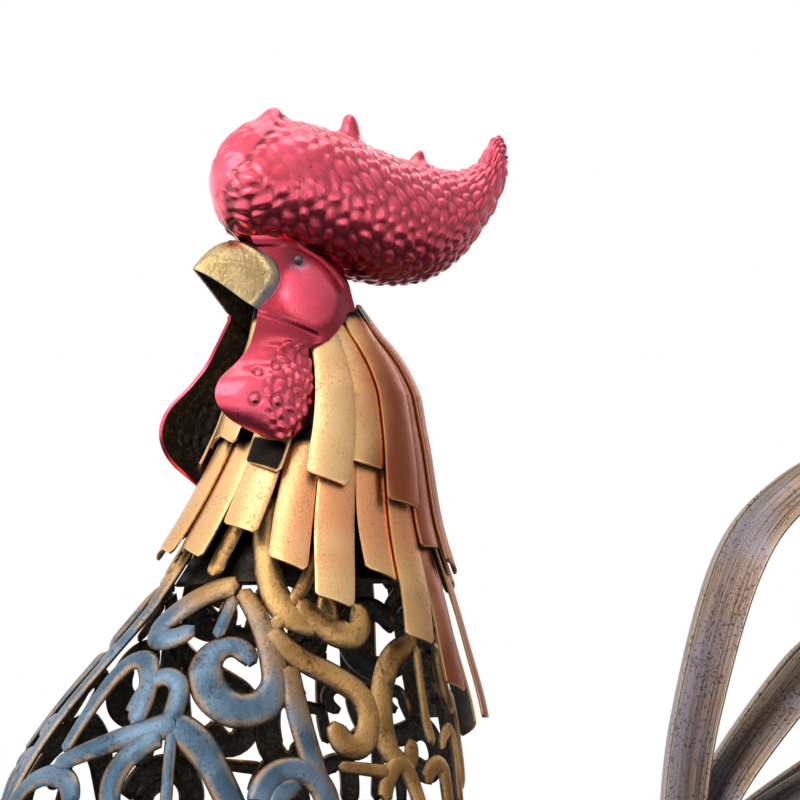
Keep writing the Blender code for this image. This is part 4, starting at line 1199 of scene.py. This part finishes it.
def make_tail():
    """Pairs of long ribbons that lean together like a roof."""
    for number, (start_angle, splay, bends) in enumerate(TAIL_PAIRS, 1):
        corners, headings = tail_line(start_angle, bends)
        steps = np.arange(len(corners), dtype=float)
        turn = math.radians(splay)

        def shape(u, v):
            at = v * (len(corners) - 1)
            heading = np.interp(at, steps, headings)
            y = curve_through(steps, corners[:, 0], at)
            z = curve_through(steps, corners[:, 1], at)
            width = TAIL_WIDTH * (0.8 + 0.2 * np.minimum(1, v * 4)) * np.minimum(1, 0.35 + (1 - v) * 3)
            tip = np.clip((1 - v) / 0.03, 0, 1)
            width = width * (0.55 + 0.45 * np.sqrt(1 - (1 - tip) ** 2))
            across = u * width
            camber = 0.075 * width * np.sin(math.pi * u)
            droop = across * math.sin(TAIL_ROLL) - camber + 0.04 * width
            run = y - TAIL_BAR[0]
            x = (TAIL_GAP + TAIL_SHEET * math.sin(TAIL_ROLL) + across * math.cos(TAIL_ROLL)
                 + math.tan(turn) * run * v)
            y = TAIL_BAR[0] + (y - TAIL_BAR[0]) * 0.993
            return np.stack([x, y + np.sin(heading) * droop, z - np.cos(heading) * droop], -1)

        for side, word in ((1, "left"), (-1, "right")):
            work = bmesh.new()
            lay_grid(work, 14, 150, shape, side)
            finish_piece(f"tail_leaf_{word}_{number}", work, (TAIL, BLACK),
                         (f"tail_ribbon_{word}_{number}",), TAIL_SHEET, RIM)


# Legs and base

def turned(work, start, end, radius_at, count, segments):
    """A closed turned form between two points: radius_at gives mm at a share of the way along."""
    run = end - start
    before = set(work.verts)
    profile = [work.verts.new((0, 0, 0))]
    for index in range(count + 1):
        share = index / count
        profile.append(work.verts.new((radius_at(share) * MM, 0, share * run.length)))
    profile.append(work.verts.new((0, 0, run.length)))
    edges = [work.edges.new(pair) for pair in zip(profile, profile[1:])]
    bmesh.ops.spin(work, geom=profile + edges, axis=(0, 0, 1), cent=(0, 0, 0), angle=2 * math.pi,
                   steps=segments, use_merge=True)
    place = Matrix.Translation(start) @ run.to_track_quat("Z", "Y").to_matrix().to_4x4()
    bmesh.ops.transform(work, matrix=place, verts=[vert for vert in work.verts if vert not in before])


def thigh_radius(share):
    """A feathered skirt of rings that narrows toward the knee."""
    return min(12.5 + (6.4 - 12.5) * share ** 0.9 + 0.55 * math.cos(share * math.pi * 12), 12.9)


def shank_radius(share):
    """A ringed shank that widens at the ankle."""
    return 4.0 + 0.45 * abs(math.sin(share * math.pi * 14)) ** 0.6 + 0.5 * share ** 6


def toe_radius(share):
    """A ringed toe with a claw."""
    radius = 4.4 + (2.5 - 4.4) * share
    radius += 0.32 * abs(math.sin(share * math.pi * 7)) * (share < 0.86)
    if share > 0.8:
        radius *= max(0.12, math.sqrt(max(1 - ((share - 0.8) / 0.2) ** 2, 0)))
    return radius


def make_legs():
    """Thighs, shanks, toes and claws of both sides."""
    drop = (KNEE - HIP).normalized()

    def finish_leg(name, work, node):
        weld(work, 0.005 * MM)
        bmesh.ops.recalc_face_normals(work, faces=work.faces)
        finish_piece(name, work, (LEG,), (node,))

    for side, word in ((1, "left"), (-1, "right")):
        flip = Vector((side, 1, 1))
        work = bmesh.new()
        turned(work, (HIP + drop * 0.3 * MM) * flip, (KNEE - drop * 6.9 * MM) * flip, thigh_radius,
               60, 40)
        finish_leg(f"thigh_{word}_cast", work, f"thigh_{word}")

        knee, ankle = KNEE * flip, ANKLE * flip
        work = bmesh.new()
        turned(work, knee, ankle, shank_radius, 80, 28)
        for joint, radius in ((knee, 6.6), (ankle, 5.9)):
            bmesh.ops.create_uvsphere(work, u_segments=28, v_segments=18, radius=radius * MM,
                                      matrix=Matrix.Translation(joint))
        for degrees, length in TOES:
            turn = math.radians(degrees)
            end = ankle + Vector((math.sin(turn), -math.cos(turn), 0)) * length * MM
            end.z = TOE_HEIGHT
            turned(work, ankle, end, toe_radius, 48, 20)
        finish_leg(f"shank_{word}_cast", work, f"shank_and_foot_{word}")


def make_base():
    """The low base plate, with rounded corners and a stepped edge."""
    low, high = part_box("base_plate")
    work = bmesh.new()
    bmesh.ops.create_cube(work, size=1)
    size = high - low
    bmesh.ops.scale(work, vec=size, verts=work.verts)
    bmesh.ops.translate(work, vec=(low + high) / 2, verts=work.verts)
    upright = [edge for edge in work.edges
               if abs(edge.verts[0].co.z - edge.verts[1].co.z) > size.z / 2]
    soften(work, upright, BASE_CORNER, 12)
    top = [face for face in work.faces if face.normal.z > 0.9]
    bmesh.ops.inset_region(work, faces=top, thickness=3.2 * MM, depth=0)
    top = [face for face in work.faces if face.normal.z > 0.9 and len(face.verts) > 8]
    bmesh.ops.inset_region(work, faces=top, thickness=0.8 * MM, depth=-0.8 * MM)
    rims = [edge for edge in work.edges if edge.calc_face_angle(0) > 0.6
            and edge.verts[0].co.z > size.z * 0.5 and edge.verts[1].co.z > size.z * 0.5]
    soften(work, rims, 0.5 * MM, 2)
    finish_piece("base_slab", work, (PLATE,), ("base_plate",))


# Studio

def make_floor():
    """A plain pale floor."""
    work = bmesh.new()
    bmesh.ops.create_grid(work, x_segments=1, y_segments=1, size=6)
    mesh = bpy.data.meshes.new("studio_floor")
    work.to_mesh(mesh)
    work.free()
    floor = new_object("studio_floor", mesh)
    pale = Finish("pale_floor", 0.0, 0.75)
    pale.ground(pale.noise(pale.place, 3, 2), (0.86, 0.86, 0.86), (0.90, 0.90, 0.90))
    pale.shader["Emission Color"].default_value = (1, 1, 1, 1)
    pale.shader["Emission Strength"].default_value = 0.30
    mesh.materials.append(pale.done())
    floor.visible_glossy = False


def aim(item, place, way):
    """Sets a lamp or camera at a place and turns it."""
    item.location = place
    item.rotation_mode = "QUATERNION"
    item.rotation_quaternion = way.to_track_quat("-Z", "Y")


def soft_box(name, place, target, size, power, color=(1, 1, 1)):
    """A square studio light aimed at a point."""
    lamp = bpy.data.lights.new(name, "AREA")
    lamp.shape = "SQUARE"
    lamp.size = size
    lamp.energy = power
    lamp.color = color
    aim(new_object(name, lamp), place, target - place)


def make_studio():
    """Soft light from the upper left and behind, a white backdrop, and the camera."""
    azimuth, elevation = (math.radians(degrees) for degrees in VIEW_DEGREES)
    back = Vector((math.sin(azimuth) * math.cos(elevation), -math.cos(azimuth) * math.cos(elevation),
                   math.sin(elevation)))
    right = Vector((math.cos(azimuth), math.sin(azimuth), 0))
    target = VIEW_TARGET
    lens = bpy.data.cameras.new("view")
    lens.sensor_width = 36
    lens.lens = LENS
    lens.clip_start, lens.clip_end = 0.01, 50
    camera = new_object("view", lens)
    aim(camera, target + back * VIEW_DISTANCE, -back)
    bpy.context.scene.camera = camera

    up = Vector((0, 0, 1))
    level = Vector((math.sin(azimuth), -math.cos(azimuth), 0))
    soft_box("key_box", target + level * 0.9 - right * 0.8 + up * 0.9, target, 0.9, 6.0)
    soft_box("fill_box", target + level * 1.2 + right * 0.7 + up * 0.1, target, 0.7, 1.2)
    soft_box("top_box", target - level * 0.2 + right * 0.1 + up * 1.3, target, 1.0, 5.0)
    soft_box("rear_box", target - level * 1.1 + right * 0.7 + up * 0.6, target, 0.8, 3.0,
             (0.92, 0.92, 1))

    world = bpy.data.worlds.new("studio_white")
    bpy.context.scene.world = world
    world.use_nodes = True
    nodes = Nodes(world.node_tree)
    shade = world.node_tree.nodes["Background"].inputs
    way = nodes.add("TexCoord").outputs["Generated"]
    leftward = nodes.add("VectorMath", {0: way, 1: tuple(-right)},
                         operation="DOT_PRODUCT").outputs["Value"]
    sky = nodes.times(nodes.fade(nodes.split(way)[2], -0.62, -0.16), 1.16)
    glow = nodes.times(sky, nodes.plus(0.76, nodes.times(leftward, 0.46)))
    glow = nodes.plus(glow, 0.07)
    seen = nodes.add("LightPath").outputs["Is Camera Ray"]
    strength = nodes.add("Mix", {0: seen, 2: glow, 3: 1.0}, data_type="FLOAT").outputs[0]
    shade["Color"].default_value = (1, 1, 1, 1)
    nodes.put(strength, shade["Strength"])
    bpy.context.scene.view_settings.view_transform = "Standard"


make_scrollwork()
make_tail_bar_and_hip_pads()
make_hackle()
make_sleeve()
make_comb()
make_faces()
make_nape()
make_beak()
make_tail()
make_legs()
make_base()
make_floor()
make_studio()
